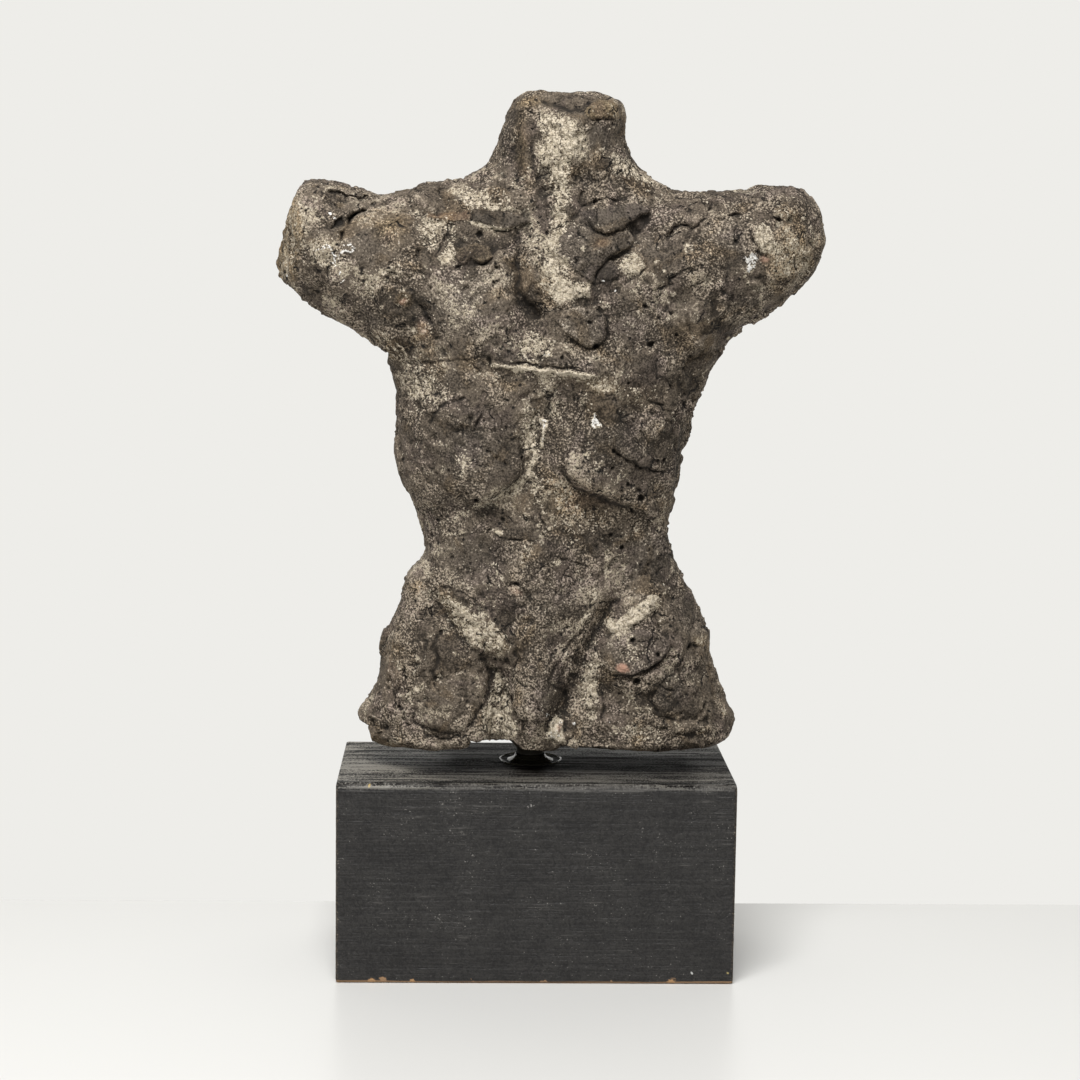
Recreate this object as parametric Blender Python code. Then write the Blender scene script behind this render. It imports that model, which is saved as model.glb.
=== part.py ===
"""Torso sculpture on its plinth.

A rough clay torso, with a neck stump and two arm stumps, stands on a short post above a
painted wooden block. Metres, +Z up. The origin is the centre of the plinth's underside,
and the torso faces -Y. The sections below are given in millimetres and scaled by MM.
"""
import math

import bmesh
import bpy
import numpy as np
from mathutils import Vector, noise

MM = 0.001

# Plinth: a length of planed 70 x 70 mm timber, its grain along X
PLINTH_LENGTH = 137.0
PLINTH_DEPTH = 70.0
PLINTH_HEIGHT = 70.0
PLINTH_LONG_EDGE = 3.2      # radius of the two eased top edges along the grain
PLINTH_SAWN_EDGE = 0.8      # radius of all the other edges
LONG_EDGE_SEGMENTS = 4
SAWN_EDGE_SEGMENTS = 2
PLINTH_CREASE = math.radians(30.0)  # edges bent more than this stay sharp

# Post and the glue round its foot
PIECE_GAP = 0.3             # clearance between neighbouring pieces
POST_CENTRE = (-1.5, 5.0)
POST_RADIUS = 5.2
POST_WAIST = 4.8
SEAT_HEIGHT = 75.4          # flat seat on the torso's underside
SEAT_RADIUS = 7.5
SEAT_SLOPE = 7.0            # how far out the boss round the seat runs back to the underside
GLUE_FOOT_RADIUS = 11.5
GLUE_TOP_HEIGHT = 3.6
GLUE_RIM = 0.5              # thickness of the glue's feathered edge
GLUE_TOP_WIDTH = 0.5        # thickness of the collar at its top, against the post
GLUE_SWEEP = 2.6            # how sharply the collar's flare sweeps up to the post
POST_SIDES = 24
POST_RINGS = 5
GLUE_SIDES = 36
GLUE_RINGS = 8
TURNED_CREASE = math.radians(40.0)

# Torso build
RING_POINTS = 72
RING_STEP = 2.5             # height between the trunk's rings
ARM_RINGS = 30
TRUNK_SQUARENESS = 2.35     # 2 is an ellipse, and larger is boxier
ARM_SQUARENESS = 2.3
CLAY_VOXEL = 2.2            # voxel size that joins trunk and arms
CLAY_SMOOTHING = 5          # rounds of smoothing after the join
LUMPS = ((1.5, 16.0, 1.0), (0.9, 7.0, 2.0))     # height, size, and share of the seed
UNDERSIDE_TOP = (84.0, 90.0)    # between these heights the flat underside ends
ARCH_HEIGHT = 2.2           # the underside is arched between the thighs
ARCH_MIDDLE = -17.0
ARCH_WIDTH = 7.5
BOSS_TOP = 92.0             # the boss round the seat ends below this height
TORSO_TRIANGLES = 8200
CLAY_SEED = Vector((3.7, 11.2, 5.9))

# Trunk sections from the hem to the top of the neck:
# height, left side, right side, front, back
TRUNK = (
    (78.2, -54.0, 62.5, -17.0, 21.0),
    (79.8, -58.6, 67.2, -20.5, 23.5),
    (82.4, -61.4, 69.6, -20.5, 25.0),
    (86.0, -63.4, 70.6, -21.5, 26.0),
    (89.5, -61.0, 69.8, -21.5, 26.5),
    (93.0, -58.4, 66.8, -21.5, 27.0),
    (100.0, -55.4, 64.2, -22.0, 28.0),
    (110.0, -54.8, 61.2, -22.5, 29.0),
    (117.0, -52.3, 60.8, -22.5, 29.5),
    (125.0, -49.7, 58.3, -22.0, 29.0),
    (132.0, -47.7, 54.8, -21.5, 27.5),
    (138.0, -46.2, 50.6, -21.0, 25.5),
    (141.5, -41.2, 48.2, -20.5, 24.0),
    (145.0, -40.2, 47.4, -20.5, 23.0),
    (152.0, -40.6, 45.8, -20.5, 21.5),
    (160.0, -42.6, 45.7, -20.5, 21.0),
    (168.0, -46.4, 47.8, -22.0, 22.0),
    (177.0, -49.7, 49.6, -24.5, 24.0),
    (190.0, -50.2, 53.1, -26.5, 26.0),
    (201.0, -50.6, 54.9, -27.5, 27.0),
    (210.0, -51.5, 58.2, -28.0, 27.5),
    (222.0, -53.0, 60.0, -28.0, 27.5),
    (236.0, -54.0, 60.0, -27.0, 26.5),
    (250.0, -52.0, 58.0, -24.5, 25.0),
    (261.0, -46.0, 52.0, -20.5, 22.5),
    (268.0, -40.0, 47.0, -17.5, 20.0),
    (272.5, -34.5, 44.5, -15.5, 18.5),
    (275.5, -26.0, 37.6, -15.0, 18.0),
    (279.0, -20.0, 33.6, -15.5, 18.0),
    (284.0, -16.4, 30.0, -16.0, 18.0),
    (292.0, -14.4, 27.7, -16.0, 18.5),
    (298.0, -12.6, 27.6, -15.0, 17.0),
    (301.5, -10.6, 24.0, -12.5, 14.5),
    (303.6, -8.0, 14.5, -8.0, 10.0),
)

# Arm stumps, from inside the trunk to the broken end:
# distance out along X, top, underside, front, back
LEFT_ARM = (
    (-22.0, 266.0, 214.0, -18.0, 18.0),
    (-38.0, 270.5, 209.0, -22.5, 22.0),
    (-50.0, 270.3, 209.5, -23.5, 22.5),
    (-57.0, 268.6, 216.5, -22.5, 21.5),
    (-66.0, 271.0, 222.3, -21.0, 20.5),
    (-76.0, 273.4, 228.3, -19.0, 19.0),
    (-81.5, 272.8, 232.0, -17.5, 17.5),
    (-86.0, 268.0, 236.0, -15.5, 15.5),
    (-89.0, 259.5, 239.5, -12.0, 12.0),
    (-90.8, 251.0, 243.0, -6.0, 7.0),
)
RIGHT_ARM = (
    (24.0, 266.0, 212.0, -18.0, 18.0),
    (44.0, 271.5, 206.0, -23.5, 22.5),
    (56.0, 270.7, 207.5, -24.5, 23.0),
    (62.0, 271.2, 215.8, -23.5, 22.0),
    (69.0, 271.0, 222.0, -22.0, 21.0),
    (76.0, 273.6, 227.6, -20.5, 20.0),
    (84.0, 273.8, 231.6, -19.0, 18.5),
    (90.0, 271.3, 238.0, -16.5, 16.5),
    (94.5, 267.0, 245.6, -12.5, 13.0),
    (97.8, 260.0, 252.5, -6.0, 7.0),
)


def material(name, colour, roughness):
    """A Principled material with one colour and roughness."""
    finish = bpy.data.materials.new(name)
    finish.use_nodes = True
    shader = finish.node_tree.nodes["Principled BSDF"]
    shader.inputs["Base Color"].default_value = (*colour, 1.0)
    shader.inputs["Roughness"].default_value = roughness
    shader.inputs["Metallic"].default_value = 0.0
    finish.diffuse_color = (*colour, 1.0)
    return finish


def add_object(name, mesh, finish):
    """Link a mesh into the scene as a named object with its finish."""
    piece = bpy.data.objects.new(name, mesh)
    mesh.materials.clear()
    mesh.materials.append(finish)
    bpy.context.scene.collection.objects.link(piece)
    return piece


def mesh_from(name, bm):
    """Turn a bmesh into a mesh with its faces pointing out, and free the bmesh."""
    bmesh.ops.recalc_face_normals(bm, faces=bm.faces)
    mesh = bpy.data.meshes.new(name)
    bm.to_mesh(mesh)
    bm.free()
    return mesh


# ---------------------------------------------------------------- lofted clay

def smooth_rows(rows, positions):
    """Read a table of sections at new positions along a smooth monotone curve."""
    table = np.array(sorted(rows))
    place = table[:, 0]
    steps = np.diff(place)
    columns = [positions]
    for column in table[:, 1:].T:
        slopes = np.diff(column) / steps
        tangent = np.zeros(len(place))
        same_way = slopes[:-1] * slopes[1:] > 0.0
        mean = 2.0 * slopes[:-1] * slopes[1:] / np.where(same_way, slopes[:-1] + slopes[1:], 1.0)
        tangent[1:-1] = np.where(same_way, mean, 0.0)
        tangent[0] = slopes[0]
        tangent[-1] = slopes[-1]
        cell = np.clip(np.searchsorted(place, positions) - 1, 0, len(steps) - 1)
        width = steps[cell]
        t = (positions - place[cell]) / width
        columns.append(
            (2 * t**3 - 3 * t**2 + 1) * column[cell]
            + (t**3 - 2 * t**2 + t) * width * tangent[cell]
            + (3 * t**2 - 2 * t**3) * column[cell + 1]
            + (t**3 - t**2) * width * tangent[cell + 1]
        )
    return np.array(columns).T


def oval(low, high, front, back, squareness):
    """One closed ring: across runs from low to high, and depth from front to back."""
    angles = np.arange(RING_POINTS) * 2.0 * math.pi / RING_POINTS
    power = 2.0 / squareness
    across = np.sign(np.cos(angles)) * np.abs(np.cos(angles)) ** power
    depth = np.sign(np.sin(angles)) * np.abs(np.sin(angles)) ** power
    across = (low + high) / 2.0 + across * (high - low) / 2.0
    middle = (front + back) / 2.0
    return across, middle + depth * (back - front) / 2.0


def loft(bm, rings):
    """Skin a list of rings of points, and close both ends with a fan."""
    loops = [[bm.verts.new(point) for point in ring] for ring in rings]
    for lower, upper in zip(loops, loops[1:]):
        for i in range(RING_POINTS):
            j = (i + 1) % RING_POINTS
            bm.faces.new((lower[i], lower[j], upper[j], upper[i]))
    for loop in (loops[0], loops[-1]):
        middle = sum((vert.co for vert in loop), Vector()) / len(loop)
        hub = bm.verts.new(middle)
        for i in range(RING_POINTS):
            bm.faces.new((loop[i], loop[(i + 1) % RING_POINTS], hub))


def trunk_rings():
    """Horizontal rings from the hem to the top of the neck."""
    heights = np.arange(TRUNK[0][0], TRUNK[-1][0], RING_STEP)
    heights = np.append(heights, TRUNK[-1][0])
    rings = []
    for height, left, right, front, back in smooth_rows(TRUNK, heights):
        across, depth = oval(left, right, front, back, TRUNK_SQUARENESS)
        rings.append([(x * MM, y * MM, height * MM) for x, y in zip(across, depth)])
    return rings


def arm_rings(rows):
    """Upright rings from inside the trunk out to the end of one arm stump."""
    places = [row[0] for row in rows]
    reach = np.linspace(min(places), max(places), ARM_RINGS)
    rings = []
    for distance, top, under, front, back in smooth_rows(rows, reach):
        upright, depth = oval(under, top, front, back, ARM_SQUARENESS)
        rings.append([(distance * MM, y * MM, z * MM) for z, y in zip(upright, depth)])
    return rings


def lofted_clay():
    """Trunk and both arm stumps as separate closed skins in one mesh."""
    bm = bmesh.new()
    loft(bm, trunk_rings())
    loft(bm, arm_rings(LEFT_ARM))
    loft(bm, arm_rings(RIGHT_ARM))
    return mesh_from("clay_rough", bm)


def joined_clay():
    """One closed skin: the lofts are fused by a voxel remesh and smoothed."""
    rough = bpy.data.objects.new("clay_rough", lofted_clay())
    bpy.context.scene.collection.objects.link(rough)
    fuse = rough.modifiers.new("fuse", "REMESH")
    fuse.mode = "VOXEL"
    fuse.voxel_size = CLAY_VOXEL * MM
    smooth = rough.modifiers.new("smooth", "SMOOTH")
    smooth.factor = 0.5
    smooth.iterations = CLAY_SMOOTHING
    view = bpy.context.evaluated_depsgraph_get()
    mesh = bpy.data.meshes.new_from_object(rough.evaluated_get(view))
    old_mesh = rough.data
    bpy.data.objects.remove(rough)
    bpy.data.meshes.remove(old_mesh)
    mesh.name = "torso"
    return mesh


# ---------------------------------------------------------------- carving

def step(low, high, value):
    """A smooth rise from 0 at low to 1 at high."""
    t = np.clip((value - low) / (high - low), 0.0, 1.0)
    return t * t * (3.0 - 2.0 * t)


def mound(x, z, at, radii, turn=0.0):
    """A soft swelling of height 1 centred at `at`, turned anticlockwise by `turn` degrees."""
    angle = math.radians(turn)
    dx = x - at[0]
    dz = z - at[1]
    along = (dx * math.cos(angle) + dz * math.sin(angle)) / radii[0]
    aside = (dz * math.cos(angle) - dx * math.sin(angle)) / radii[1]
    return np.exp(-(along**2 + aside**2))


def along_path(x, z, path):
    """Distance to a path of (x, z) points, side of it (left is positive), and travel 0 to 1."""
    nearest = np.full(len(x), 1e9)
    side = np.zeros(len(x))
    travel = np.zeros(len(x))
    lengths = [math.dist(start, end) for start, end in zip(path, path[1:])]
    done = 0.0
    for (ax, az), (bx, bz), length in zip(path, path[1:], lengths):
        run = ((x - ax) * (bx - ax) + (z - az) * (bz - az)) / length
        t = np.clip(run / length, 0.0, 1.0)
        away = np.hypot(x - ax - t * (bx - ax), z - az - t * (bz - az))
        cross = ((bx - ax) * (z - az) - (bz - az) * (x - ax)) / length
        closer = away < nearest
        nearest = np.where(closer, away, nearest)
        side = np.where(closer, np.where(cross < 0.0, -away, away), side)
        travel = np.where(closer, (done + t * length) / sum(lengths), travel)
        done += length
    return nearest, side, travel


def furrow(x, z, path, width):
    """A soft band of height 1 that follows a path and dies away towards its ends."""
    nearest, _, travel = along_path(x, z, path)
    ends = np.sin(math.pi * np.clip(travel, 0.02, 0.98)) ** 0.5
    return ends * np.exp(-((nearest / width) ** 2))


def lip(x, z, path, reach):
    """A step of height 1, raised on the left of its path, that sinks back over `reach`."""
    _, side, travel = along_path(x, z, path)
    ends = np.sin(math.pi * np.clip(travel, 0.0, 1.0)) ** 0.6
    return ends * step(-1.5, 1.5, side) * np.exp(-((np.clip(side, 0.0, None) / reach) ** 2))


def front_relief(x, z):
    """How far the front stands out towards the viewer, in millimetres."""
    # neck: a tendon on the left and the throat's broad middle
    out = 1.5 * furrow(x, z, ((-7, 298), (-5, 282), (-2, 264)), 3.0)
    out -= 1.2 * furrow(x, z, ((-1, 296), (0, 280), (2, 266)), 2.0)
    out += 2.2 * furrow(x, z, ((9, 300), (8, 280), (6, 255)), 6.5)
    # chest, with the groove left of the breastbone that ends in a pocket
    out += 3.0 * mound(x, z, (-29, 238), (19, 18))
    out += 3.2 * mound(x, z, (33, 240), (22, 17))
    out -= 3.6 * furrow(x, z, ((-7, 262), (-8, 240), (-2, 224)), 4.0)
    out -= 2.6 * mound(x, z, (-2, 228), (5, 3.5), 55)
    out += 1.6 * mound(x, z, (14, 225), (8.5, 7))
    out -= 3.2 * mound(x, z, (32, 255), (7, 5), 40)
    out -= 1.6 * furrow(x, z, ((52, 226), (50, 214), (54, 204)), 5.0)
    out -= 1.4 * furrow(x, z, ((-50, 232), (-46, 218), (-47, 206)), 4.5)
    out += 1.7 * lip(x, z, ((-20, 210.5), (0, 209), (24, 207), (34, 206)), 8.0)
    out += 1.5 * lip(x, z, ((38, 233), (50, 240), (62, 248)), 8.0)
    # arm stumps
    out += 2.4 * mound(x, z, (-70, 250), (15, 13))
    out += 2.6 * mound(x, z, (77, 250), (13, 15))
    # the two rib masses and the valley between them
    out += 3.2 * mound(x, z, (-27, 184), (17, 19))
    out += 3.6 * mound(x, z, (28, 182), (19, 19))
    out += 2.4 * lip(x, z, ((-42, 163), (-24, 162.5), (-14, 167), (-6.5, 176), (-7, 192)), 13.0)
    out += 3.0 * lip(x, z, ((6, 186), (11, 172), (23, 164.5), (36, 159), (48, 158)), 15.0)
    out -= 3.0 * furrow(x, z, ((2, 208), (0, 186), (-2, 170)), 5.0)
    # belly, running down as a tongue to the middle lobe
    out += 3.4 * mound(x, z, (3, 146), (21, 22))
    out += 2.4 * furrow(x, z, ((0, 172), (1, 150), (0, 126), (0, 100)), 9.0)
    out -= 1.5 * mound(x, z, (2, 153), (7, 4))
    out += 4.4 * furrow(x, z, ((-1, 122), (-2, 100), (-1, 66)), 6.5)
    # groins
    out -= 3.6 * furrow(x, z, ((-43, 138), (-24, 114), (-12, 104), (-11, 92)), 4.0)
    out -= 4.6 * furrow(x, z, ((33, 142), (24, 127), (19, 116), (12, 103), (7, 90), (6, 70)), 3.8)
    out -= 6.0 * mound(x, z, (-14, 90), (4.5, 17))
    out -= 1.8 * mound(x, z, (17, 92), (4, 14))
    # thighs
    out += 4.0 * mound(x, z, (-33, 97), (13, 21))
    out += 2.2 * mound(x, z, (-45, 126), (7, 13))
    out += 3.2 * mound(x, z, (36, 111), (15, 11))
    out += 2.2 * lip(x, z, ((20, 108), (25, 101), (34, 98), (45, 106), (54, 114)), 9.0)
    out += 2.2 * mound(x, z, (44, 90), (13, 9))
    # the rolled hem
    out += 1.4 * furrow(x, z, ((-75, 82), (-40, 81), (-24, 80.5)), 2.5)
    out += 1.4 * furrow(x, z, ((12, 81), (40, 80), (80, 82)), 2.5)
    return out


def back_relief(x, z):
    """How far the back stands out behind, in millimetres; it is finished more plainly."""
    out = -3.6 * furrow(x, z, ((7, 285), (4, 240), (3, 170), (3, 128)), 6.5)
    out += 3.0 * mound(x, z, (-27, 242), (17, 15), -20)
    out += 3.0 * mound(x, z, (33, 242), (18, 15), 20)
    out += 1.5 * lip(x, z, ((-44, 226), (-30, 224), (-12, 234)), 9.0)
    out += 1.5 * lip(x, z, ((18, 234), (38, 224), (52, 226)), 9.0)
    out += 2.2 * mound(x, z, (-24, 186), (14, 24))
    out += 2.2 * mound(x, z, (28, 186), (14, 24))
    out += 5.0 * mound(x, z, (-24, 108), (18, 20))
    out += 5.0 * mound(x, z, (31, 108), (18, 20))
    out -= 4.5 * furrow(x, z, ((3, 138), (4, 104), (4, 66)), 5.0)
    out -= 1.8 * furrow(x, z, ((-54, 90), (-26, 86), (-2, 90)), 4.5)
    out -= 1.8 * furrow(x, z, ((10, 90), (34, 86), (60, 90)), 4.5)
    return out


def thumbed(points, size, seed):
    """Soft unevenness of pressed clay, about -0.5 to 0.5, with lumps about `size` mm across."""
    place = points / size
    return np.array([noise.noise(Vector(p) + seed) for p in place])


def carve(mesh):
    """Push the smooth skin into the figure's larger forms."""
    count = len(mesh.vertices)
    flat = np.empty(count * 3, dtype=np.float32)
    mesh.vertices.foreach_get("co", flat)
    points = flat.reshape(-1, 3).astype(float) / MM
    mesh.vertices.foreach_get("normal", flat)
    normals = flat.reshape(-1, 3).astype(float)
    x = points[:, 0].copy()
    z = points[:, 2].copy()
    facing_front = step(0.15, 0.75, -normals[:, 1])
    facing_back = step(0.15, 0.75, normals[:, 1])
    facing_down = step(0.55, 0.85, -normals[:, 2]) * (1.0 - step(*UNDERSIDE_TOP, z))
    points[:, 1] -= facing_front * front_relief(x, z)
    points[:, 1] += facing_back * back_relief(x, z)
    lumps = sum(height * thumbed(points, size, CLAY_SEED * share) for height, size, share in LUMPS)
    points += normals * (lumps * (1.0 - facing_down))[:, None]
    # the underside is arched between the thighs, with a flat boss where the post meets it
    points[:, 2] += facing_down * ARCH_HEIGHT * np.exp(-(((points[:, 0] - ARCH_MIDDLE) / ARCH_WIDTH) ** 2))
    away = np.hypot(points[:, 0] - POST_CENTRE[0], points[:, 1] - POST_CENTRE[1])
    boss = 1.0 - step(SEAT_RADIUS, SEAT_RADIUS + SEAT_SLOPE, away)
    boss *= (points[:, 2] < BOSS_TOP) * step(0.2, 0.5, -normals[:, 2])
    points[:, 2] += boss * (SEAT_HEIGHT - points[:, 2])
    mesh.vertices.foreach_set("co", (points * MM).astype(np.float32).ravel())
    mesh.update()


def make_torso(finish):
    """The clay figure: lofted, fused, carved, then thinned to an even faceted skin."""
    mesh = joined_clay()
    carve(mesh)
    torso = add_object("torso", mesh, finish)
    triangles = sum(len(face.vertices) - 2 for face in mesh.polygons)
    thin = torso.modifiers.new("thin", "DECIMATE")
    thin.ratio = TORSO_TRIANGLES / triangles
    thin.use_collapse_triangulate = True
    mesh.shade_smooth()


# ---------------------------------------------------------------- plinth, post and glue

def make_plinth(finish):
    """The timber block, its long edges eased more than the sawn ones."""
    bm = bmesh.new()
    bmesh.ops.create_cube(bm, size=1.0)
    size = Vector((PLINTH_LENGTH, PLINTH_DEPTH, PLINTH_HEIGHT)) * MM
    for vert in bm.verts:
        vert.co = Vector((vert.co.x * size.x, vert.co.y * size.y, (vert.co.z + 0.5) * size.z))
    top_long = []
    for edge in bm.edges:
        ends = [vert.co for vert in edge.verts]
        along_grain = abs(ends[0].x - ends[1].x) > size.x / 2
        at_top = min(end.z for end in ends) > size.z / 2
        if along_grain and at_top:
            top_long.append(edge)
    eased = bmesh.ops.bevel(
        bm, geom=top_long, offset=PLINTH_LONG_EDGE * MM, segments=LONG_EDGE_SEGMENTS, profile=0.5,
        affect="EDGES", clamp_overlap=True,
    )
    curved = set(eased["faces"])
    sawn = [edge for edge in bm.edges if edge.calc_face_angle(0.0) > PLINTH_CREASE]
    sawn = [edge for edge in sawn if not all(face in curved for face in edge.link_faces)]
    bmesh.ops.bevel(
        bm, geom=sawn, offset=PLINTH_SAWN_EDGE * MM, segments=SAWN_EDGE_SEGMENTS, profile=0.5,
        affect="EDGES", clamp_overlap=True,
    )
    bmesh.ops.remove_doubles(bm, verts=bm.verts, dist=1e-6)
    plinth = add_object("plinth", mesh_from("plinth", bm), finish)
    plinth.data.shade_smooth()
    plinth.data.set_sharp_from_angle(angle=PLINTH_CREASE)


def turned(name, profile, sides, closed):
    """Turn a profile of (radius, height) points in millimetres about the post's upright axis.

    An open profile starts and ends on the axis; a closed one makes a ring.
    """
    bm = bmesh.new()
    loops = []
    for radius, height in profile:
        count = sides if radius > 0.0 else 1
        loop = []
        for i in range(count):
            turn = 2.0 * math.pi * i / count
            x = POST_CENTRE[0] + radius * math.cos(turn)
            y = POST_CENTRE[1] + radius * math.sin(turn)
            loop.append(bm.verts.new((x * MM, y * MM, height * MM)))
        loops.append(loop)
    pairs = list(zip(loops, loops[1:]))
    if closed:
        pairs.append((loops[-1], loops[0]))
    for lower, upper in pairs:
        for i in range(sides):
            j = (i + 1) % sides
            corners = (lower[i % len(lower)], lower[j % len(lower)],
                       upper[j % len(upper)], upper[i % len(upper)])
            bm.faces.new(list(dict.fromkeys(corners)))
    mesh = mesh_from(name, bm)
    mesh.shade_smooth()
    mesh.set_sharp_from_angle(angle=TURNED_CREASE)
    return mesh


def make_post(finish):
    """The short post, a little waisted, between the plinth and the torso's seat."""
    low = PLINTH_HEIGHT + PIECE_GAP
    high = SEAT_HEIGHT - PIECE_GAP
    profile = [(0.0, low)]
    for i in range(POST_RINGS):
        t = i / (POST_RINGS - 1)
        pinch = math.sin(math.pi * t)
        profile.append((POST_RADIUS + (POST_WAIST - POST_RADIUS) * pinch, low + (high - low) * t))
    profile.append((0.0, high))
    add_object("support_post", turned("support_post", profile, POST_SIDES, False), finish)


def make_glue(finish):
    """The glue collar: a concave flare that thins out over the plinth's top."""
    low = PLINTH_HEIGHT + PIECE_GAP
    inner = POST_RADIUS + PIECE_GAP
    outer = GLUE_FOOT_RADIUS
    profile = [(inner, low), (outer, low)]
    for i in range(GLUE_RINGS):
        t = i / (GLUE_RINGS - 1)
        radius = outer + (inner + GLUE_TOP_WIDTH - outer) * t
        profile.append((radius, low + GLUE_RIM + (GLUE_TOP_HEIGHT - GLUE_RIM) * t**GLUE_SWEEP))
    profile.append((inner, low + GLUE_TOP_HEIGHT))
    add_object("glue_fillet", turned("glue_fillet", profile, GLUE_SIDES, True), finish)


def main():
    for old in list(bpy.data.objects):
        bpy.data.objects.remove(old)
    make_torso(material("torso_clay", (0.085, 0.072, 0.058), 0.9))
    make_plinth(material("painted_wood", (0.042, 0.038, 0.036), 0.55))
    make_post(material("post_plastic", (0.012, 0.012, 0.010), 0.4))
    make_glue(material("clear_glue", (0.30, 0.29, 0.26), 0.15))


main()
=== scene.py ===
# %% [markdown]
# # A rough clay torso on a painted block
#
# The work has four pieces: a torso pressed together from dark clay, a short post that
# carries it, a collar of hardened glue round the post's foot, and a block of planed
# timber painted black. The imported model gives each piece's true size and place. This
# lesson gives them their finish: torn clay, lime in the hollows, and worn paint.
#
# The frame is loaded first, and nothing in it is ever moved. Its box is kept, and the
# finished pieces are fitted to it.

import math
import time

import bmesh
import bpy
import numpy as np
from mathutils import Matrix, Vector


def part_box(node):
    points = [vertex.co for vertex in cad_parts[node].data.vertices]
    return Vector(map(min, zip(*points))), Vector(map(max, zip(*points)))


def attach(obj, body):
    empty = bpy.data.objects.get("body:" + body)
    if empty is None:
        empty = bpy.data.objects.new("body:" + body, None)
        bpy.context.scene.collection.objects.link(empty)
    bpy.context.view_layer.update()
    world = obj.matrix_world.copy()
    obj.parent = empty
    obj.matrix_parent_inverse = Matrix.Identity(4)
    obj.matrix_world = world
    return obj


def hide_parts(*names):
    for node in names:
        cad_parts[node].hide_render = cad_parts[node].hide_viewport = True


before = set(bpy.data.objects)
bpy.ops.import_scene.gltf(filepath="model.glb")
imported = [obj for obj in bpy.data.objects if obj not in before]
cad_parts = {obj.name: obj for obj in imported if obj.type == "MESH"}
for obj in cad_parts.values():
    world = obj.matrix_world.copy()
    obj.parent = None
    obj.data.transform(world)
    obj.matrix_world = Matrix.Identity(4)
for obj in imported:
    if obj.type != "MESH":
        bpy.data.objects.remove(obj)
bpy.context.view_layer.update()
MM = 0.001
started = time.time()
torso_box = np.array(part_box("torso")) / MM
plinth_box = np.array(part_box("plinth")) / MM
print("torso box in mm:", torso_box.round(1).tolist())

# %% [markdown]
# ## Camera
#
# The work is seen from a little above its middle, almost square on, from about 0.8 m
# away with a long lens, so its upright edges stay nearly upright. The camera could be
# aimed by a constraint, but three plain turns are easier to read: turn left or right,
# tip down, then roll about the line of sight.

# %% Camera
CAMERA_PLACE = (-0.0239, -0.8254, 0.2539)       # metres
CAMERA_TURN = -1.72                             # degrees
CAMERA_TIP = -7.22
CAMERA_ROLL = 0.75
CAMERA_LENS = 79.2                              # millimetres, on a 36 mm sensor


def placed(name, data):
    """A new object of this name, linked to the scene."""
    made = bpy.data.objects.new(name, data)
    bpy.context.scene.collection.objects.link(made)
    return made


lens = bpy.data.cameras.new("camera")
lens.lens = CAMERA_LENS
lens.sensor_width = 36.0
lens.clip_start = 0.01
lens.clip_end = 20.0
camera = placed("camera", lens)
turn = Matrix.Rotation(math.radians(CAMERA_TURN), 4, "Z")
tip = Matrix.Rotation(math.radians(90.0 + CAMERA_TIP), 4, "X")
roll = Matrix.Rotation(math.radians(CAMERA_ROLL), 4, "Z")
camera.matrix_world = Matrix.Translation(CAMERA_PLACE) @ turn @ tip @ roll
bpy.context.scene.camera = camera
print("camera at", CAMERA_PLACE)

# %% [markdown]
# ## Node helpers
#
# A procedural finish is a chain of small nodes. Writing one out by hand takes many
# lines, so helpers do the typing: `node` adds a node with its settings and inputs, and
# an input can be a number or another node's output. The others each name a pattern or
# a sum that is used often. Every pattern reads Object coordinates, in metres, so a
# scale of 1000 gives grains a millimetre across.

# %% Node helpers
def node(tree, kind, settings=None, **inputs):
    """Add a node; inputs are named by socket, with _ for a space, or by position as i0, i1."""
    made = tree.nodes.new(kind)
    for key, value in (settings or {}).items():
        setattr(made, key, value)
    for key, value in inputs.items():
        by_place = key[0] == "i" and key[1:].isdigit()
        socket = made.inputs[int(key[1:])] if by_place else made.inputs[key.replace("_", " ")]
        if isinstance(value, bpy.types.NodeSocket):
            tree.links.new(value, socket)
        else:
            socket.default_value = value
    return made


def noise(tree, place, scale, detail=3.0, rough=0.55, distort=0.0):
    """The value of a noise pattern, about 0.3 to 0.7."""
    made = node(tree, "ShaderNodeTexNoise", None, Vector=place, Scale=scale, Detail=detail,
                Roughness=rough, Distortion=distort)
    return made.outputs["Fac"]


def maths(tree, operation, first, second=0.0):
    """One sum of two values."""
    return node(tree, "ShaderNodeMath", {"operation": operation}, i0=first, i1=second).outputs[0]


def times(tree, first, second):
    """The product of two values."""
    return maths(tree, "MULTIPLY", first, second)


def most(tree, first, second):
    """The larger of two values."""
    return maths(tree, "MAXIMUM", first, second)


def ramp(tree, value, low, high):
    """A smooth rise from 0 at low to 1 at high."""
    return node(tree, "ShaderNodeMapRange", {"interpolation_type": "SMOOTHSTEP"}, Value=value,
                From_Min=low, From_Max=high).outputs["Result"]


def mix(tree, share, first, second, blend="MIX"):
    """Blend two colours by a share from 0 to 1."""
    made = tree.nodes.new("ShaderNodeMix")
    made.data_type = "RGBA"
    made.blend_type = blend
    for place, value in ((0, share), (6, first), (7, second)):
        if isinstance(value, bpy.types.NodeSocket):
            tree.links.new(value, made.inputs[place])
        elif place == 0:
            made.inputs[place].default_value = value
        else:
            made.inputs[place].default_value = (*value, 1.0)
    return made.outputs[2]


def painted(tree, name):
    """A value painted on the piece's points."""
    return node(tree, "ShaderNodeAttribute", {"attribute_name": name}).outputs["Fac"]


def mix_value(tree, share, first, second):
    """Blend two numbers by a share from 0 to 1."""
    return node(tree, "ShaderNodeMix", None, Factor=share, A=first, B=second).outputs["Result"]


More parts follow.
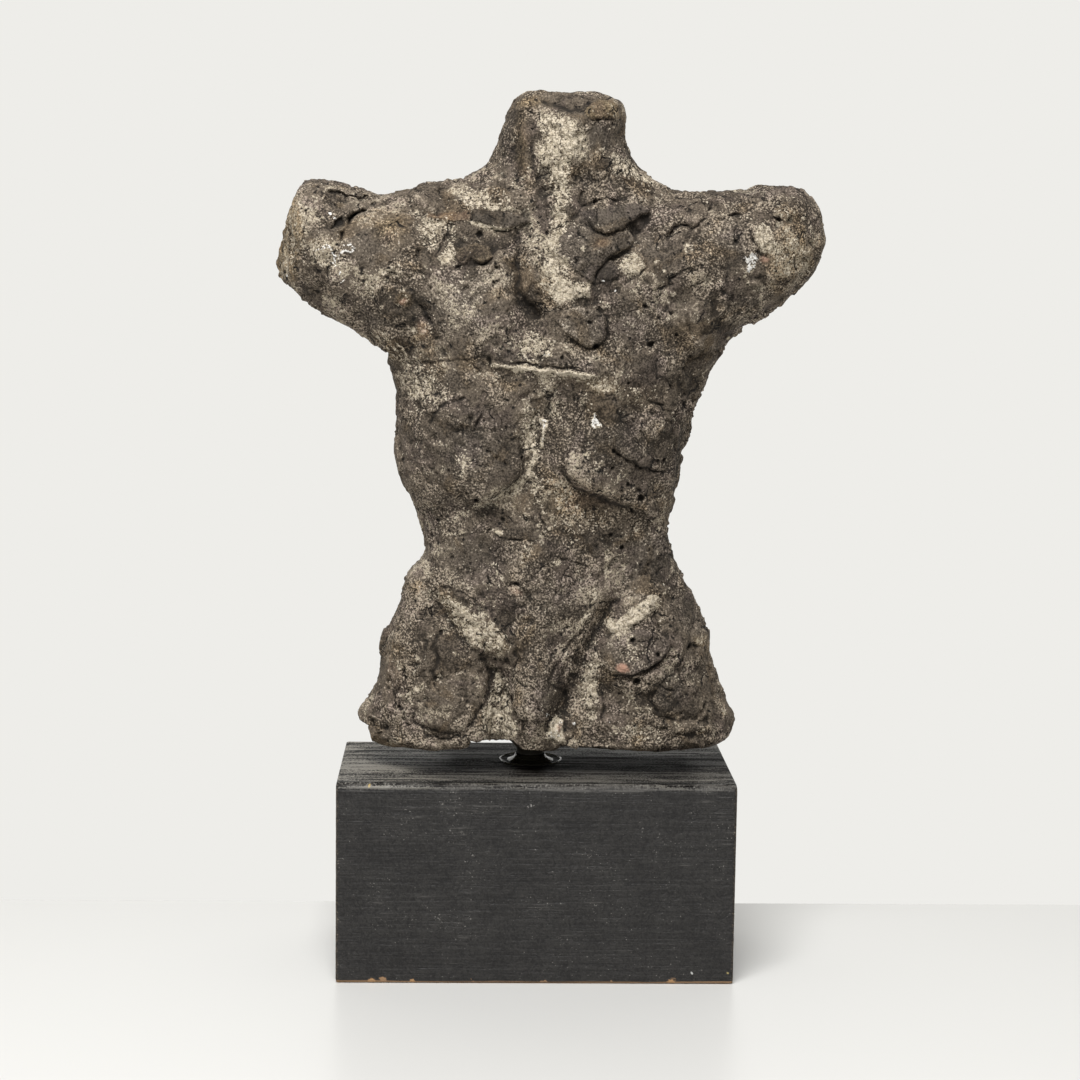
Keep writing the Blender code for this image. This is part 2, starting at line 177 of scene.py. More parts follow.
def new_finish(name):
    """A material with its tree, its Principled shader and Object coordinates."""
    finish = bpy.data.materials.new(name)
    finish.use_nodes = True
    tree = finish.node_tree
    shader = tree.nodes["Principled BSDF"]
    place = tree.nodes.new("ShaderNodeTexCoord").outputs["Object"]
    return finish, tree, shader, place


def plain(shader, **values):
    """Values that are the same all over a surface, set on the shader's own sockets."""
    for key, value in values.items():
        shader.inputs[key.replace("_", " ")].default_value = value


def bump(tree, height, depth_mm, under=None):
    """Tip the surface as if `height` were relief of `depth_mm`, over an earlier bump."""
    made = node(tree, "ShaderNodeBump", None, Height=height, Strength=1.0,
                Distance=depth_mm * MM)
    if under is not None:
        tree.links.new(under, made.inputs["Normal"])
    return made.outputs["Normal"]


# %% [markdown]
# ## Numbers for carving
#
# The clay's relief is carved by moving the points of a dense mesh, all at once, with
# numpy arrays. Sculpting by hand would not repeat, and a bump pattern has no real
# shape. These few functions each give a height between 0 and 1 over the front of the
# figure, in millimetres across and up: `dome` is a soft swelling, `plate` a flat slab
# with a torn edge, `band` a line that dies away at its ends, and `ledge` a step that
# is sharp on one side and sinks back on the other.

# %% Carving functions
def step(low, high, value):
    """A smooth rise from 0 at low to 1 at high."""
    t = np.clip((value - low) / (high - low), 0.0, 1.0)
    return t * t * (3.0 - 2.0 * t)


def turned(at, centre, radii, turn):
    """Offsets from a centre along two turned axes, as shares of the radii."""
    angle = math.radians(turn)
    dx = at[0] - centre[0]
    dz = at[1] - centre[1]
    along = (dx * math.cos(angle) + dz * math.sin(angle)) / radii[0]
    aside = (dz * math.cos(angle) - dx * math.sin(angle)) / radii[1]
    return along, aside


def dome(at, centre, radii, turn=0.0):
    """A soft swelling."""
    along, aside = turned(at, centre, radii, turn)
    return np.exp(-(along**2 + aside**2))


def disc(at, centre, radii, turn=0.0, edge=0.25):
    """A flat-topped oval, which slopes over `edge` of its radius on either side of its rim."""
    along, aside = turned(at, centre, radii, turn)
    return 1.0 - step(1.0 - edge, 1.0 + edge, np.hypot(along, aside))


def follow(at, path):
    """Distance to a path, signed side of it (left is positive), and travel 0 to 1."""
    x, z = at[0], at[1]
    nearest = np.full(len(x), 1e9)
    side = np.zeros(len(x))
    travel = np.zeros(len(x))
    lengths = [math.dist(start, end) for start, end in zip(path, path[1:])]
    done = 0.0
    for (ax, az), (bx, bz), length in zip(path, path[1:], lengths):
        run = ((x - ax) * (bx - ax) + (z - az) * (bz - az)) / length
        t = np.clip(run / length, 0.0, 1.0)
        away = np.hypot(x - ax - t * (bx - ax), z - az - t * (bz - az))
        cross = ((bx - ax) * (z - az) - (bz - az) * (x - ax)) / length
        closer = away < nearest
        nearest = np.where(closer, away, nearest)
        side = np.where(closer, np.where(cross < 0.0, -away, away), side)
        travel = np.where(closer, (done + t * length) / sum(lengths), travel)
        done += length
    return nearest, side, travel


def band(at, path, width):
    """A line along a path that dies away towards its ends."""
    nearest, _, travel = follow(at, path)
    ends = np.sin(math.pi * np.clip(travel, 0.03, 0.97)) ** 0.5
    return ends * np.exp(-((nearest / width) ** 2))


def ledge(at, path, reach, edge=0.5):
    """A step raised on the left of its path, which sinks back over `reach`."""
    _, side, travel = follow(at, path)
    ends = np.sin(math.pi * np.clip(travel, 0.0, 1.0)) ** 0.5
    fade = np.exp(-((np.clip(side, 0.0, None) / reach) ** 2))
    return ends * step(-edge, edge, side) * fade


def plate(at, outline, edge=0.5):
    """A flat slab inside an outline of points listed anticlockwise."""
    x, z = at[0], at[1]
    nearest = np.full(len(x), 1e9)
    inside = np.zeros(len(x), dtype=bool)
    for (ax, az), (bx, bz) in zip(outline, outline[1:] + outline[:1]):
        length = math.dist((ax, az), (bx, bz))
        t = np.clip(((x - ax) * (bx - ax) + (z - az) * (bz - az)) / length**2, 0.0, 1.0)
        nearest = np.minimum(nearest, np.hypot(x - ax - t * (bx - ax), z - az - t * (bz - az)))
        if az != bz:
            crosses = (az > z) != (bz > z)
            inside ^= crosses & (x < (bx - ax) * (z - az) / (bz - az) + ax)
    return step(-edge, edge, np.where(inside, nearest, -nearest))


# %% [markdown]
# ## Clay grain
#
# Pressed clay is uneven at every size: thumb-wide pellets, crumbs of a few
# millimetres, then sand. Blender's own noise could be read point by point, but array
# versions are faster over half a million points. `grain` is a smooth random field.
# `pellets` fills space with flat tilted discs of random thickness and keeps the highest
# at each point, so they overlap like dabs of clay thumbed on one over another.
# `crackle` is a net of thin wandering lines, where a smooth field changes sign.

# %% Grain functions
def chances(i, j, k, seed):
    """Three fixed random numbers from 0 to 1 for each whole-number cell."""
    mixed = (i * 73856093) ^ (j * 19349663) ^ (k * 83492791) ^ (seed * 26544357)
    mixed = (mixed ^ (mixed >> 13)) * 1274126177
    mixed = (mixed ^ (mixed >> 15)) * 1103515245
    mixed = mixed ^ (mixed >> 16)
    return [((mixed >> shift) & 1023) / 1023.0 for shift in (0, 10, 20)]


def grain(points, size, seed, octaves=1):
    """A smooth random field about -1 to 1, with lumps `size` mm apart."""
    total = np.zeros(len(points))
    weight = 1.0
    for octave in range(octaves):
        place = points / size * 2.0**octave + 0.37 * octave
        cell = np.floor(place).astype(np.int64)
        part = place - cell
        part = part * part * (3.0 - 2.0 * part)
        value = np.zeros(len(points))
        for corner in range(8):
            bit = np.array([corner & 1, (corner >> 1) & 1, (corner >> 2) & 1])
            share = np.prod(np.where(bit == 1, part, 1.0 - part), axis=1)
            value += share * chances(*(cell + bit).T, seed + octave)[0]
        total += weight * (2.0 * value - 1.0)
        weight *= 0.5
    return total


def pellets(points, size, seed, ragged):
    """Height of overlapping flat dabs up to `size` mm wide, 0 to about 1."""
    place = points / size
    cell = np.floor(place).astype(np.int64)
    height = np.zeros(len(points))
    for corner in range(27):
        i, j, k = (cell + (corner % 3 - 1, corner // 3 % 3 - 1, corner // 9 - 1)).T
        spread = chances(i, j, k, seed)
        slope = chances(i, j, k, seed + 1)
        kind = chances(i, j, k, seed + 2)
        offset = [place[:, axis] - (i, j, k)[axis] - spread[axis] for axis in range(3)]
        away = np.sqrt(offset[0] ** 2 + offset[1] ** 2 + offset[2] ** 2)
        radius = 0.45 + 0.35 * kind[0]
        top = 0.35 + 0.5 * kind[1]
        for axis in range(3):
            top += 1.4 * (slope[axis] - 0.5) * offset[axis]
        cover = 1.0 - step(0.86, 1.0, away / radius + ragged)
        height = np.maximum(height, top * cover)
    return height


def crackle(points, size, width, seed):
    """A net of thin wandering lines, 0 to 1."""
    field = grain(points, size, seed, 2)
    there = step(-0.1, 0.5, grain(points, size * 1.7, seed + 9))
    return there * np.exp(-((field * size / width) ** 2))


# %% [markdown]
# ## A dense skin for the clay
#
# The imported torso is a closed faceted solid, right in its outline but far too coarse
# for torn clay. Its copy is merged, rounded by one subdivision, rebuilt as an even skin
# by a voxel remesh and smoothed a little. That gives small square faces everywhere,
# which can be carved in any direction without tearing.

# %% Dense skin
SKIN_VOXEL = 0.50


def plain_mesh(holder, name):
    """The mesh that an object's modifiers make; the object itself is removed."""
    view = bpy.context.evaluated_depsgraph_get()
    made = bpy.data.meshes.new_from_object(holder.evaluated_get(view))
    holder.modifiers.clear()
    bpy.data.objects.remove(holder)
    made.name = name
    return made


def baked(name, source, *steps):
    """Apply modifiers to a mesh and return the new plain mesh; the old one is removed."""
    holder = placed(name, source)
    for kind, settings in steps:
        modifier = holder.modifiers.new(kind.lower(), kind)
        for key, value in settings.items():
            setattr(modifier, key, value)
    made = plain_mesh(holder, name)
    bpy.data.meshes.remove(source)
    return made


def merged_copy(node_name):
    """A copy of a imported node's mesh with its loose triangles joined."""
    bm = bmesh.new()
    bm.from_mesh(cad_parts[node_name].data)
    bmesh.ops.remove_doubles(bm, verts=bm.verts, dist=1e-6)
    mesh = bpy.data.meshes.new(node_name + "_copy")
    bm.to_mesh(mesh)
    bm.free()
    return mesh


def read_points(mesh, what="co"):
    """Points in millimetres, or normals, as an array."""
    flat = np.empty(len(mesh.vertices) * 3, dtype=np.float32)
    mesh.vertices.foreach_get(what, flat)
    return flat.reshape(-1, 3).astype(float) / (MM if what == "co" else 1.0)


def write_points(mesh, points):
    """Put points in millimetres back into a mesh."""
    mesh.vertices.foreach_set("co", (points * MM).astype(np.float32).ravel())
    mesh.update()


skin = baked(
    "skin", merged_copy("torso"),
    ("SUBSURF", {"levels": 1, "render_levels": 1}),
    ("REMESH", {"mode": "VOXEL", "voxel_size": SKIN_VOXEL * MM}),
    ("SMOOTH", {"factor": 0.5, "iterations": 6}),
)
print("skin:", len(skin.vertices), "points after", round(time.time() - started, 1), "s")

# %% [markdown]
# ## A board for marks
#
# Hands and tools left their marks on the clay, and most of them are both shaped and
# coloured: a crack is a groove and it is darkened with painted shade, lime is a crust
# and it is pale. The dark paint is partly the clay's own darker tone and partly painted
# shade in grooves, cracks, pits and hollows. The board takes each mark once and keeps
# its relief, in millimetres, beside its share of each paint. The same marks are laid
# twice: on the dense skin, to carve it, and on the finished mesh, to colour it. Sculpting
# by hand would not repeat. The places where marks lie are jogged by a little grain,
# because a torn edge is never a clean curve.

# %% Mark board
# dark: partly the clay's own tone, partly painted shade in grooves, cracks, pits and hollows
PAINTS = ("lime", "dark", "warm", "pink", "white", "calm")
TORN_EDGE = 0.55        # how far grain jogs the places of marks, in millimetres


class Board:
    """Relief and paint gathered mark by mark over the front of the figure."""

    def __init__(self, points):
        self.x = points[:, 0] + TORN_EDGE * grain(points, 3.0, 11, 3)
        self.z = points[:, 2] + TORN_EDGE * grain(points, 3.0, 23, 3)
        self.vary = np.clip(0.75 + 0.8 * grain(points, 2.4, 37, 2), 0.2, 1.3)
        self.relief = np.zeros(len(points))
        self.paint = {name: np.zeros(len(points)) for name in PAINTS}

    def near(self, path, reach):
        """The points within reach of a path, and their places."""
        across, upright = np.array(path, dtype=float).T
        inside = (self.x > across.min() - reach) & (self.x < across.max() + reach)
        inside &= (self.z > upright.min() - reach) & (self.z < upright.max() + reach)
        chosen = np.flatnonzero(inside)
        return chosen, (self.x[chosen], self.z[chosen])

    def lay(self, chosen, shape, out, paints):
        """Add one mark's relief, and keep the stronger of its paint and the paint there."""
        self.relief[chosen] += out * shape
        for name, share in paints.items():
            layer = self.paint[name]
            layer[chosen] = np.maximum(layer[chosen], share * shape)

    def line(self, path, width, out, **paints):
        """A ridge or groove along a path; its dark paint, painted shade in a groove, is narrower than its
        relief.
        """
        chosen, at = self.near(path, 3.0 * width)
        deep = paints.pop("dark", 0.0)
        self.lay(chosen, band(at, path, width), out, paints)
        self.lay(chosen, band(at, path, 0.6 * width), 0.0, {"dark": deep})

    def crack(self, path, width=0.5, depth=1.1):
        """A thin groove, deeper in places, darkened by painted shade that is darker in places."""
        chosen, at = self.near(path, 3.0 * width)
        self.lay(chosen, band(at, path, 0.75 * width) * self.vary[chosen], -1.3 * depth, {})
        self.lay(chosen, band(at, path, 0.45 * width) * self.vary[chosen], 0.0, {"dark": 1.4})

    def slab(self, outline, out, edge=0.4, fade=1.4, **paints):
        """A flat dab with a torn edge; lime fades out beyond the edge."""
        chosen, at = self.near(outline, 2.0 * edge + 3.0)
        lime = paints.pop("lime", 0.0)
        self.lay(chosen, plate(at, outline, edge), out, paints)
        self.lay(chosen, plate(at, outline, edge + fade), 0.0, {"lime": lime})

    def oval(self, centre, radii, out, turn=0.0, edge=0.25, **paints):
        """A flat-topped oval dab or hollow."""
        chosen, at = self.near([centre], 1.8 * max(radii))
        self.lay(chosen, disc(at, centre, radii, turn, edge), out, paints)

    def swell(self, centre, radii, out, turn=0.0, **paints):
        """A soft swelling or hollow."""
        chosen, at = self.near([centre], 2.6 * max(radii))
        self.lay(chosen, dome(at, centre, radii, turn), out, paints)

    def tint(self, centre, radii, turn=0.0, **paints):
        """Colour alone, fading out from a centre."""
        self.swell(centre, radii, 0.0, turn, **paints)

    def shelf(self, path, reach, out, edge=0.5):
        """A step raised on the left of its path."""
        chosen, at = self.near(path, 2.5 * reach)
        self.lay(chosen, ledge(at, path, reach, edge), out, {})

    def pits(self, *places):
        """Pin-prick holes darkened with painted shade: across, up and radius of each."""
        for x, z, radius in places:
            self.oval((x, z), (0.8 * radius, 0.7 * radius), -1.4 * radius, 90.0 * x % 180.0, 0.35,
                      dark=1.1)

    def flecks(self, size, *places, **paints):
        """Small raised crumbs of one size."""
        for place in places:
            self.oval(place, (size, 0.8 * size), 0.25, 20.0, 0.4, **paints)


# %% [markdown]
# ## Marks on the clay
#
# The marks are listed from the neck down, a function for each region, so that one
# region can be changed without reading the rest. Places are millimetres across and up
# from the centre of the plinth's underside, given to whole or half millimetres.
# Slabs are dabs thumbed on and left; cracks run where two dabs did not join.
# region can be changed without reading the rest. Places are millimetres across and up
# from the centre of the plinth's underside, set by eye to whole or half millimetres.
# Slabs are dabs thumbed on and left; cracks run where two dabs did not join.

# %% Neck marks
THROAT = [(-1, 294), (3.5, 296.5), (9.5, 294.5), (13.5, 291), (14, 287), (13, 282), (9.5, 278.5),
          (7.5, 273.5), (11, 269.5), (7.5, 265.5), (3.5, 265), (3, 271.5), (1, 278.5), (-1.5, 286)]
NECK_LUMP = [(13.5, 296.5), (16, 300), (20.5, 302), (26, 299.5), (26.5, 295), (16.5, 294)]


def mark_neck(board):
    """Two tendons, the lime down the throat and the torn rim."""
    board.line([(-7.5, 298), (-7.5, 286), (-7.5, 280), (-4.5, 270)], 2.0, 1.0, warm=0.7)
    board.line([(-3, 294), (-4, 284), (-3, 278), (-1, 269)], 1.3, -1.0, dark=0.45)
    board.crack([(-1.5, 296), (-1, 290.5), (-1.5, 286)], 0.5, 0.7)
    board.crack([(-9.5, 296), (-6, 296.5), (-2, 295.5)], 0.5, 0.9)
    board.slab(THROAT, 0.3, 1.4, lime=1.1)
    board.oval((9, 287), (5, 6), 0.2, 0, 0.6, lime=1.6)
    board.line([(7, 288), (5.5, 275), (6, 268), (4, 258)], 2.6, 0.2, lime=1.5)
    board.slab(NECK_LUMP, 1.1, 0.5, warm=0.9, calm=0.8)
    board.crack([(15.5, 294), (20.5, 294.5), (25, 294)], 0.55, 1.4)
    # painted shade in the hollow of the neck's top: a groove and an oval, both darkened
    board.line([(-2, 300.5), (2.5, 299), (8.5, 297), (13, 297.5), (16, 301)], 1.6, -1.6, dark=0.9)
    board.oval((6, 301), (8, 2.6), -0.6, 0, 0.6, dark=0.45)
    board.oval((-6, 299.5), (5, 2), 0.3, 8, 0.5, warm=0.7)
    board.line([(17, 282.5), (19.5, 284.5), (22, 286.5)], 0.5, 0.2, lime=1.0)
    board.oval((18.5, 287.5), (4, 5), 0.0, 0, 0.5, dark=0.25, calm=0.9)
    board.line([(38, 271.5), (33, 274.5), (27, 278.5), (20.5, 283)], 2.6, 0.2, lime=0.95)
    board.line([(-30, 267.5), (-17.5, 266.5), (-8, 270)], 3.0, 0.2, lime=0.85)
    board.swell((14, 274), (7, 6), -0.8, dark=0.3)
    board.tint((-9, 283), (4, 12), calm=0.5)
    board.pits((23.5, 293, 0.7), (-4, 291, 0.6))


# %% Collar marks, viewer's left
LEFT_SLAB = [(-24, 263), (-16, 263.5), (-9.5, 262.5), (-3.5, 260), (-9.5, 258), (-16, 257.5), (-23.5, 259.5)]
BROWN_STRIP = [(-39, 261.5), (-32, 262.5), (-25, 262.5), (-25, 260), (-31.5, 259.5), (-39, 260.5)]
LEFT_PAD = [(-30.5, 250.5), (-26, 251), (-22.5, 252.5), (-18, 250.5), (-17, 247.5), (-20.5, 246), (-24, 247),
            (-27, 245.5), (-30, 247.5)]
PALE_DAB = [(-32, 252.5), (-29, 253), (-30.5, 249), (-30, 246), (-30.5, 244.5), (-33, 245),
            (-35.5, 247), (-33, 250)]
BREASTBONE = [(-9.5, 257), (-8, 251), (-9, 247), (-8, 241.5), (-9, 237.5), (-6, 233), (-3, 230), (-1, 226.5)]


def mark_left_collar(board):
    """Slab, strip and pad thumbed on over the collarbone, with cracks round them."""
    board.crack([(-47, 270), (-43.5, 270), (-38, 269.5)], 0.5, 0.9)
    board.line([(-35, 269.5), (-29, 267), (-24, 264.5), (-20, 264)], 0.9, 0.7, dark=0.2)
    board.line([(-21, 263.5), (-14.5, 264), (-8, 263.5)], 0.7, 0.4, lime=1.6)
    board.oval((-21, 267), (9, 3.6), 0.2, -10, 0.6, lime=0.9)
    board.slab(LEFT_SLAB, 1.3, 0.25, dark=0.5, calm=0.9)
    board.line([(-26, 259.5), (-19, 257.5), (-14.5, 257), (-8, 258)], 0.8, 0.5, lime=1.6)
    board.slab(BROWN_STRIP, 0.7, 0.5, warm=0.7, pink=0.12, calm=0.8)
    board.crack([(-20, 257), (-16, 257), (-13, 256.5), (-9.5, 257.5)], 0.7, 1.2)
    board.pits((-21, 255, 1.4), (-41.5, 249, 0.9), (-16.5, 239.5, 0.8), (-17, 238, 0.7), (-15, 240, 0.6),
               (-15, 234, 0.7), (-42, 247.5, 0.6), (-38, 230, 0.6))
    board.crack([(-31, 259), (-32, 255.5), (-33.5, 252.5), (-36, 248)], 0.45, 0.9)
    board.crack([(-32, 259), (-28, 256.5), (-23.5, 254.5)], 0.4, 0.8)
    board.slab(LEFT_PAD, 1.3, 0.3, warm=0.5, calm=0.7)
    board.crack([(-29.5, 244), (-25, 245)], 0.6, 1.2)
    board.crack([(-25.5, 245.5), (-21, 245.5), (-17, 246.5)], 0.7, 1.4)
    board.crack([(-18.5, 244.5), (-14.5, 244)], 0.5, 0.9)
    board.slab(PALE_DAB, 0.3, 0.5, lime=1.3)
    board.tint((-37, 256), (7, 7), lime=0.75)
    board.tint((-26, 236), (12, 7), lime=0.3)
    board.flecks(0.9, (-43, 261.5), (-39.5, 255.5), (-26, 253.5), (-23.5, 231), (-15.5, 228), (-23.5, 235.5),
                 lime=1.2)
    # the breastbone's groove and the hollow at its foot, darkened with painted shade
    board.line(BREASTBONE, 1.6, -1.5, dark=0.6)
    board.swell((-3.5, 230), (2.4, 4.5), -2.2, 40, dark=0.85)
    board.swell((-27, 232), (13, 11), 0.3, calm=0.8)
    board.tint((-20, 239), (9, 6), calm=0.6)
    board.shelf([(-9, 238), (-17, 245), (-32, 243), (-40, 236)][::-1], 5.0, 0.6, 0.8)


# %% Collar marks, viewer's right
LEAF = [(11.5, 262.5), (17.5, 264), (24, 265.5), (31.5, 266.5), (36, 264), (30, 260), (25, 257), (21.5, 256),
        (17, 257.5), (15, 260)]
LEAF_SHADE = [(14.5, 261), (16.5, 257.5), (18, 256), (21.5, 255), (25, 256.5), (29.5, 259.5)]
UNDER_LEAF = [(29.5, 259.5), (32, 261.5), (36, 263), (36.5, 260.5), (33.5, 257), (31.5, 254.5), (30, 256.5)]
SECOND_SLAB = [(9.5, 259.5), (12.5, 262.5), (15, 259.5), (18, 255.5), (22.5, 254.5), (28.5, 257.5),
               (31, 255), (29.5, 252), (22.5, 248.5), (18.5, 244), (16.5, 239.5), (11.5, 243), (3, 250.5)]
SECOND_SHADE = [(32, 253.5), (28.5, 250), (25, 248.5), (22.5, 248), (20.5, 246), (18.5, 243.5), (17, 239.5)]
THIRD_SLAB = [(19, 244), (22.5, 246.5), (25, 244.5), (25.5, 242), (24, 240.5), (20.5, 239.5), (18, 241)]
CREAM_FACE = [(30.5, 250.5), (33.5, 248), (33.5, 245.5), (31.5, 243), (29, 241.5), (27.5, 241.5), (25, 244.5),
              (26.5, 247), (28.5, 248)]
PALE_NOTCH = [(4, 240.5), (9, 240), (15.5, 238.5), (15.5, 235), (10.5, 235), (5, 232), (2, 237.5)]
PELLET = [(4.5, 227), (7, 230.5), (13.5, 232), (20, 229.5), (21.5, 225), (20, 219.5), (16, 218),
          (10.5, 220.5), (7, 223.5)]


def mark_right_collar(board):
    """Three overlapping slabs, the hollow under them, and a pellet pressed on below."""
    board.crack([(8, 263.5), (11.5, 264), (14.5, 265.5), (18, 266.5), (21, 268), (26, 267.5), (28.5, 268.5)],
                0.6, 1.3)
    board.oval((25, 268), (3, 0.9), -0.5, 5, 0.5, dark=0.7)
    board.slab(SECOND_SLAB, 1.4, 0.3, calm=0.7)
    board.slab(LEAF, 1.4, 0.25, dark=0.42, calm=0.9)
    board.line([(14, 263), (16, 260.5), (18.5, 258), (21.5, 257.5), (27, 259.5)], 0.6, 0.3, lime=1.0)
    board.line(LEAF_SHADE, 0.9, -1.2, dark=0.9)
    # the hollow under the leaf, darkened with painted shadow
    board.slab(UNDER_LEAF, -1.8, 0.7, dark=0.75)
    board.line(SECOND_SHADE, 1.0, -1.3, dark=0.9)
    board.oval((20, 253), (2.4, 1.2), 0.0, 20, 0.6, warm=0.8, pink=0.1)
    board.slab(THIRD_SLAB, 0.8, 0.4, dark=0.6, calm=0.6)
    board.crack([(16.5, 239.5), (19, 239.5), (20.5, 240.5), (23, 240), (26, 241.5)], 0.5, 1.2)
    board.slab(CREAM_FACE, 0.5, 0.4, lime=1.15)
    board.crack([(29, 240.5), (31.5, 242), (34, 244.5), (35, 245.5)], 0.5, 1.0)
    board.crack([(36, 236.5), (40, 238), (42, 241), (44, 242), (47, 244), (53, 246.5)], 0.6, 1.2)
    board.shelf([(36, 237), (41, 239.5), (47, 243.5), (53, 246), (58, 250)], 6.0, 1.2, 0.7)
    board.crack([(40.5, 253), (41.5, 255), (43.5, 257.5), (46, 259), (49, 258.5), (50, 257)], 0.9, 2.0)
    board.crack([(45.5, 264), (50.5, 264.5)], 0.4, 0.8)
    board.line([(16.5, 239), (17.5, 235.5), (19.5, 233)], 0.4, -0.6, dark=0.7)
    board.line([(13, 233.5), (18, 234)], 0.4, -0.6, dark=0.7)
    board.slab(PALE_NOTCH, 0.3, 0.6, lime=1.5)
    board.oval((7, 246), (2.5, 4), 0.0, 0, 0.7, lime=0.7)
    board.slab(PELLET, 1.5, 0.4, calm=0.7)
    board.swell((12, 226), (4.5, 3), -0.6, -20)
    # painted shadow in the groove round the pellet
    board.line([(19, 231), (22, 227), (21.5, 221), (18, 217.5), (12, 219), (7, 222)], 0.8, -1.2, dark=0.9)
    board.pits((15, 230, 0.7), (16, 226.5, 0.8), (18, 218.5, 1.3), (36.5, 219, 1.4), (43.5, 229.5, 0.8),
               (45, 223, 0.9), (34.5, 232, 0.9), (50.5, 215, 0.8), (48, 213, 0.8), (1, 256, 1.0),
               (29.5, 206.5, 0.8), (6.5, 214.5, 0.8), (39, 228.5, 0.6), (27, 234, 0.6))
    board.flecks(0.5, (20.5, 240.5), (24, 237), white=0.9)
    board.flecks(0.9, (38, 247), (44, 236), (52, 233), (30, 237), (13, 251), (48, 252), (41, 244), lime=1.3)
    board.line([(48, 230), (49.5, 225.5), (51, 221.5)], 0.9, -1.0, dark=0.6)
    board.line([(5, 272), (6, 262), (4, 254), (3, 246), (4, 238), (8, 234)], 3.0, 0.0, lime=0.95)
    board.line([(-2, 262), (-3, 250), (-1, 240), (2, 232)], 2.0, 0.0, lime=0.4)
    board.tint((6, 257), (5, 5), lime=0.75)
    board.tint((37, 251), (8, 8), dark=0.25, calm=0.5)
    board.swell((30, 227), (8, 9), 0.3, calm=0.6)


# %% Arm marks
BURROW = [(-74, 268.5), (-72, 269.5), (-69, 270), (-66.5, 268), (-66.5, 265.5), (-68.5, 263), (-71.5, 264.5),
          (-73.5, 266)]


def mark_left_arm(board):
    """The cut end, the burrow with its pebble, the long crack and the lime scribble."""
    board.line([(-84, 270), (-81.5, 263.5), (-80, 256), (-79.5, 254), (-81.5, 246.5), (-82.5, 241.5)],
               0.7, 0.6, lime=0.7)
    board.slab([(-92, 274), (-84.5, 270), (-82, 263.5), (-80.5, 255), (-82.5, 246), (-84, 238), (-94, 238)],
               0.0, 1.5, warm=0.8, calm=0.4)
    # the burrow, a hollow darkened with painted shade
    board.slab(BURROW, -2.2, 0.6, dark=0.5)
    board.oval((-70, 266.5), (1.7, 1.3), 1.7, 50, 0.5, lime=0.3)
    board.oval((-68.5, 264.5), (1.4, 1.0), 1.5, -30, 0.5, warm=0.5)
    board.line([(-74.5, 266.5), (-74, 268.5), (-72, 270.5)], 0.6, 0.6, lime=1.0)
    board.line([(-71, 270.5), (-68, 270.5), (-64, 268.5), (-58, 268)], 0.8, 0.9)
    board.line([(-68, 272), (-62, 269.5), (-55, 268.5), (-52, 269)], 1.3, 1.3)
    board.crack([(-69, 269), (-64, 267.5), (-59, 266.5), (-53, 267)], 0.8, 1.6)
    board.crack([(-50, 266.5), (-54, 265.5), (-58.5, 264.5), (-61.5, 262.5), (-65, 260), (-66.5, 257),
                 (-68.5, 251.5)], 1.0, 2.6)
    board.shelf([(-67.5, 254.5), (-66.5, 257), (-65, 260), (-61.5, 262.5), (-56, 265)], 5.0, 0.8)
    # a recess darkened with painted shade
    board.slab([(-71.5, 256), (-70, 259.5), (-67.5, 261), (-67, 257.5)], -2.0, 0.4, dark=0.95)
    board.line([(-66, 268), (-65.5, 262.5), (-66.5, 258.5), (-68.5, 254.5)], 1.1, 1.5)
    board.line([(-78, 249), (-74.5, 250), (-72, 251), (-70.5, 249), (-70, 244), (-72, 246.5)], 0.5, 0.3,
               white=0.85)
    board.line([(-68, 249.5), (-66.5, 251), (-64.5, 251.5), (-63.5, 250), (-64.5, 248.5), (-66.5, 249),
                (-68.5, 247.5), (-69.5, 245.5)], 0.5, 0.3, white=0.82)
    board.flecks(0.7, (-68, 242), (-67, 239), (-87, 240), (-70.5, 260), (-72, 261.5), white=0.9)
    board.tint((-73.5, 246), (7, 8), lime=0.72)
    board.tint((-86, 250), (3, 14), lime=0.5)
    board.slab([(-55.5, 241.5), (-54, 243), (-49, 244), (-52, 241.5)], 0.4, 0.3, 0.2, lime=1.9)
    board.flecks(1.0, (-43.5, 262), (-43.5, 223), (-54.5, 230.5), (-47, 236), lime=1.2)
    board.flecks(1.1, (-46.5, 232.5), (-40.5, 222.5), pink=0.5, lime=1.0)
    board.crack([(-44.5, 246), (-42, 248), (-39, 251)], 0.4, 0.9)
    board.crack([(-43.5, 234), (-41.5, 231.5), (-39.5, 228.5), (-37, 224.5)], 1.1, 1.8)
    # two hollows darkened with painted shade
    board.swell((-40, 229), (2.4, 5), -1.0, 30, dark=0.6)
    board.swell((-56, 226), (6, 3), -0.7, -15, dark=0.5, calm=0.6)
    board.oval((-40.5, 223), (2.2, 2.6), 0.9, 20, 0.5, warm=0.7, pink=0.15)
    board.oval((-46.5, 233), (2.8, 2.2), 0.8, 0, 0.5, lime=0.6, warm=0.6)
    for start, end in (((-57, 222), (-49, 212)), ((-54, 222), (-46.5, 211)), ((-51, 221), (-45, 213))):
        board.line([start, end], 0.6, 0.4, lime=1.0, warm=0.5)
    board.line([(-45, 237), (-50, 239), (-56, 238)], 0.9, -0.7, dark=0.4)
    board.tint((-51.5, 257), (5, 5), warm=0.8)
    board.line([(-50, 211), (-46, 203)], 1.4, 0.2, lime=0.7)
    board.swell((-58, 252), (8, 8), 0.3, dark=0.2, calm=0.7)
    board.tint((-60, 240), (12, 6), -10, lime=0.35)


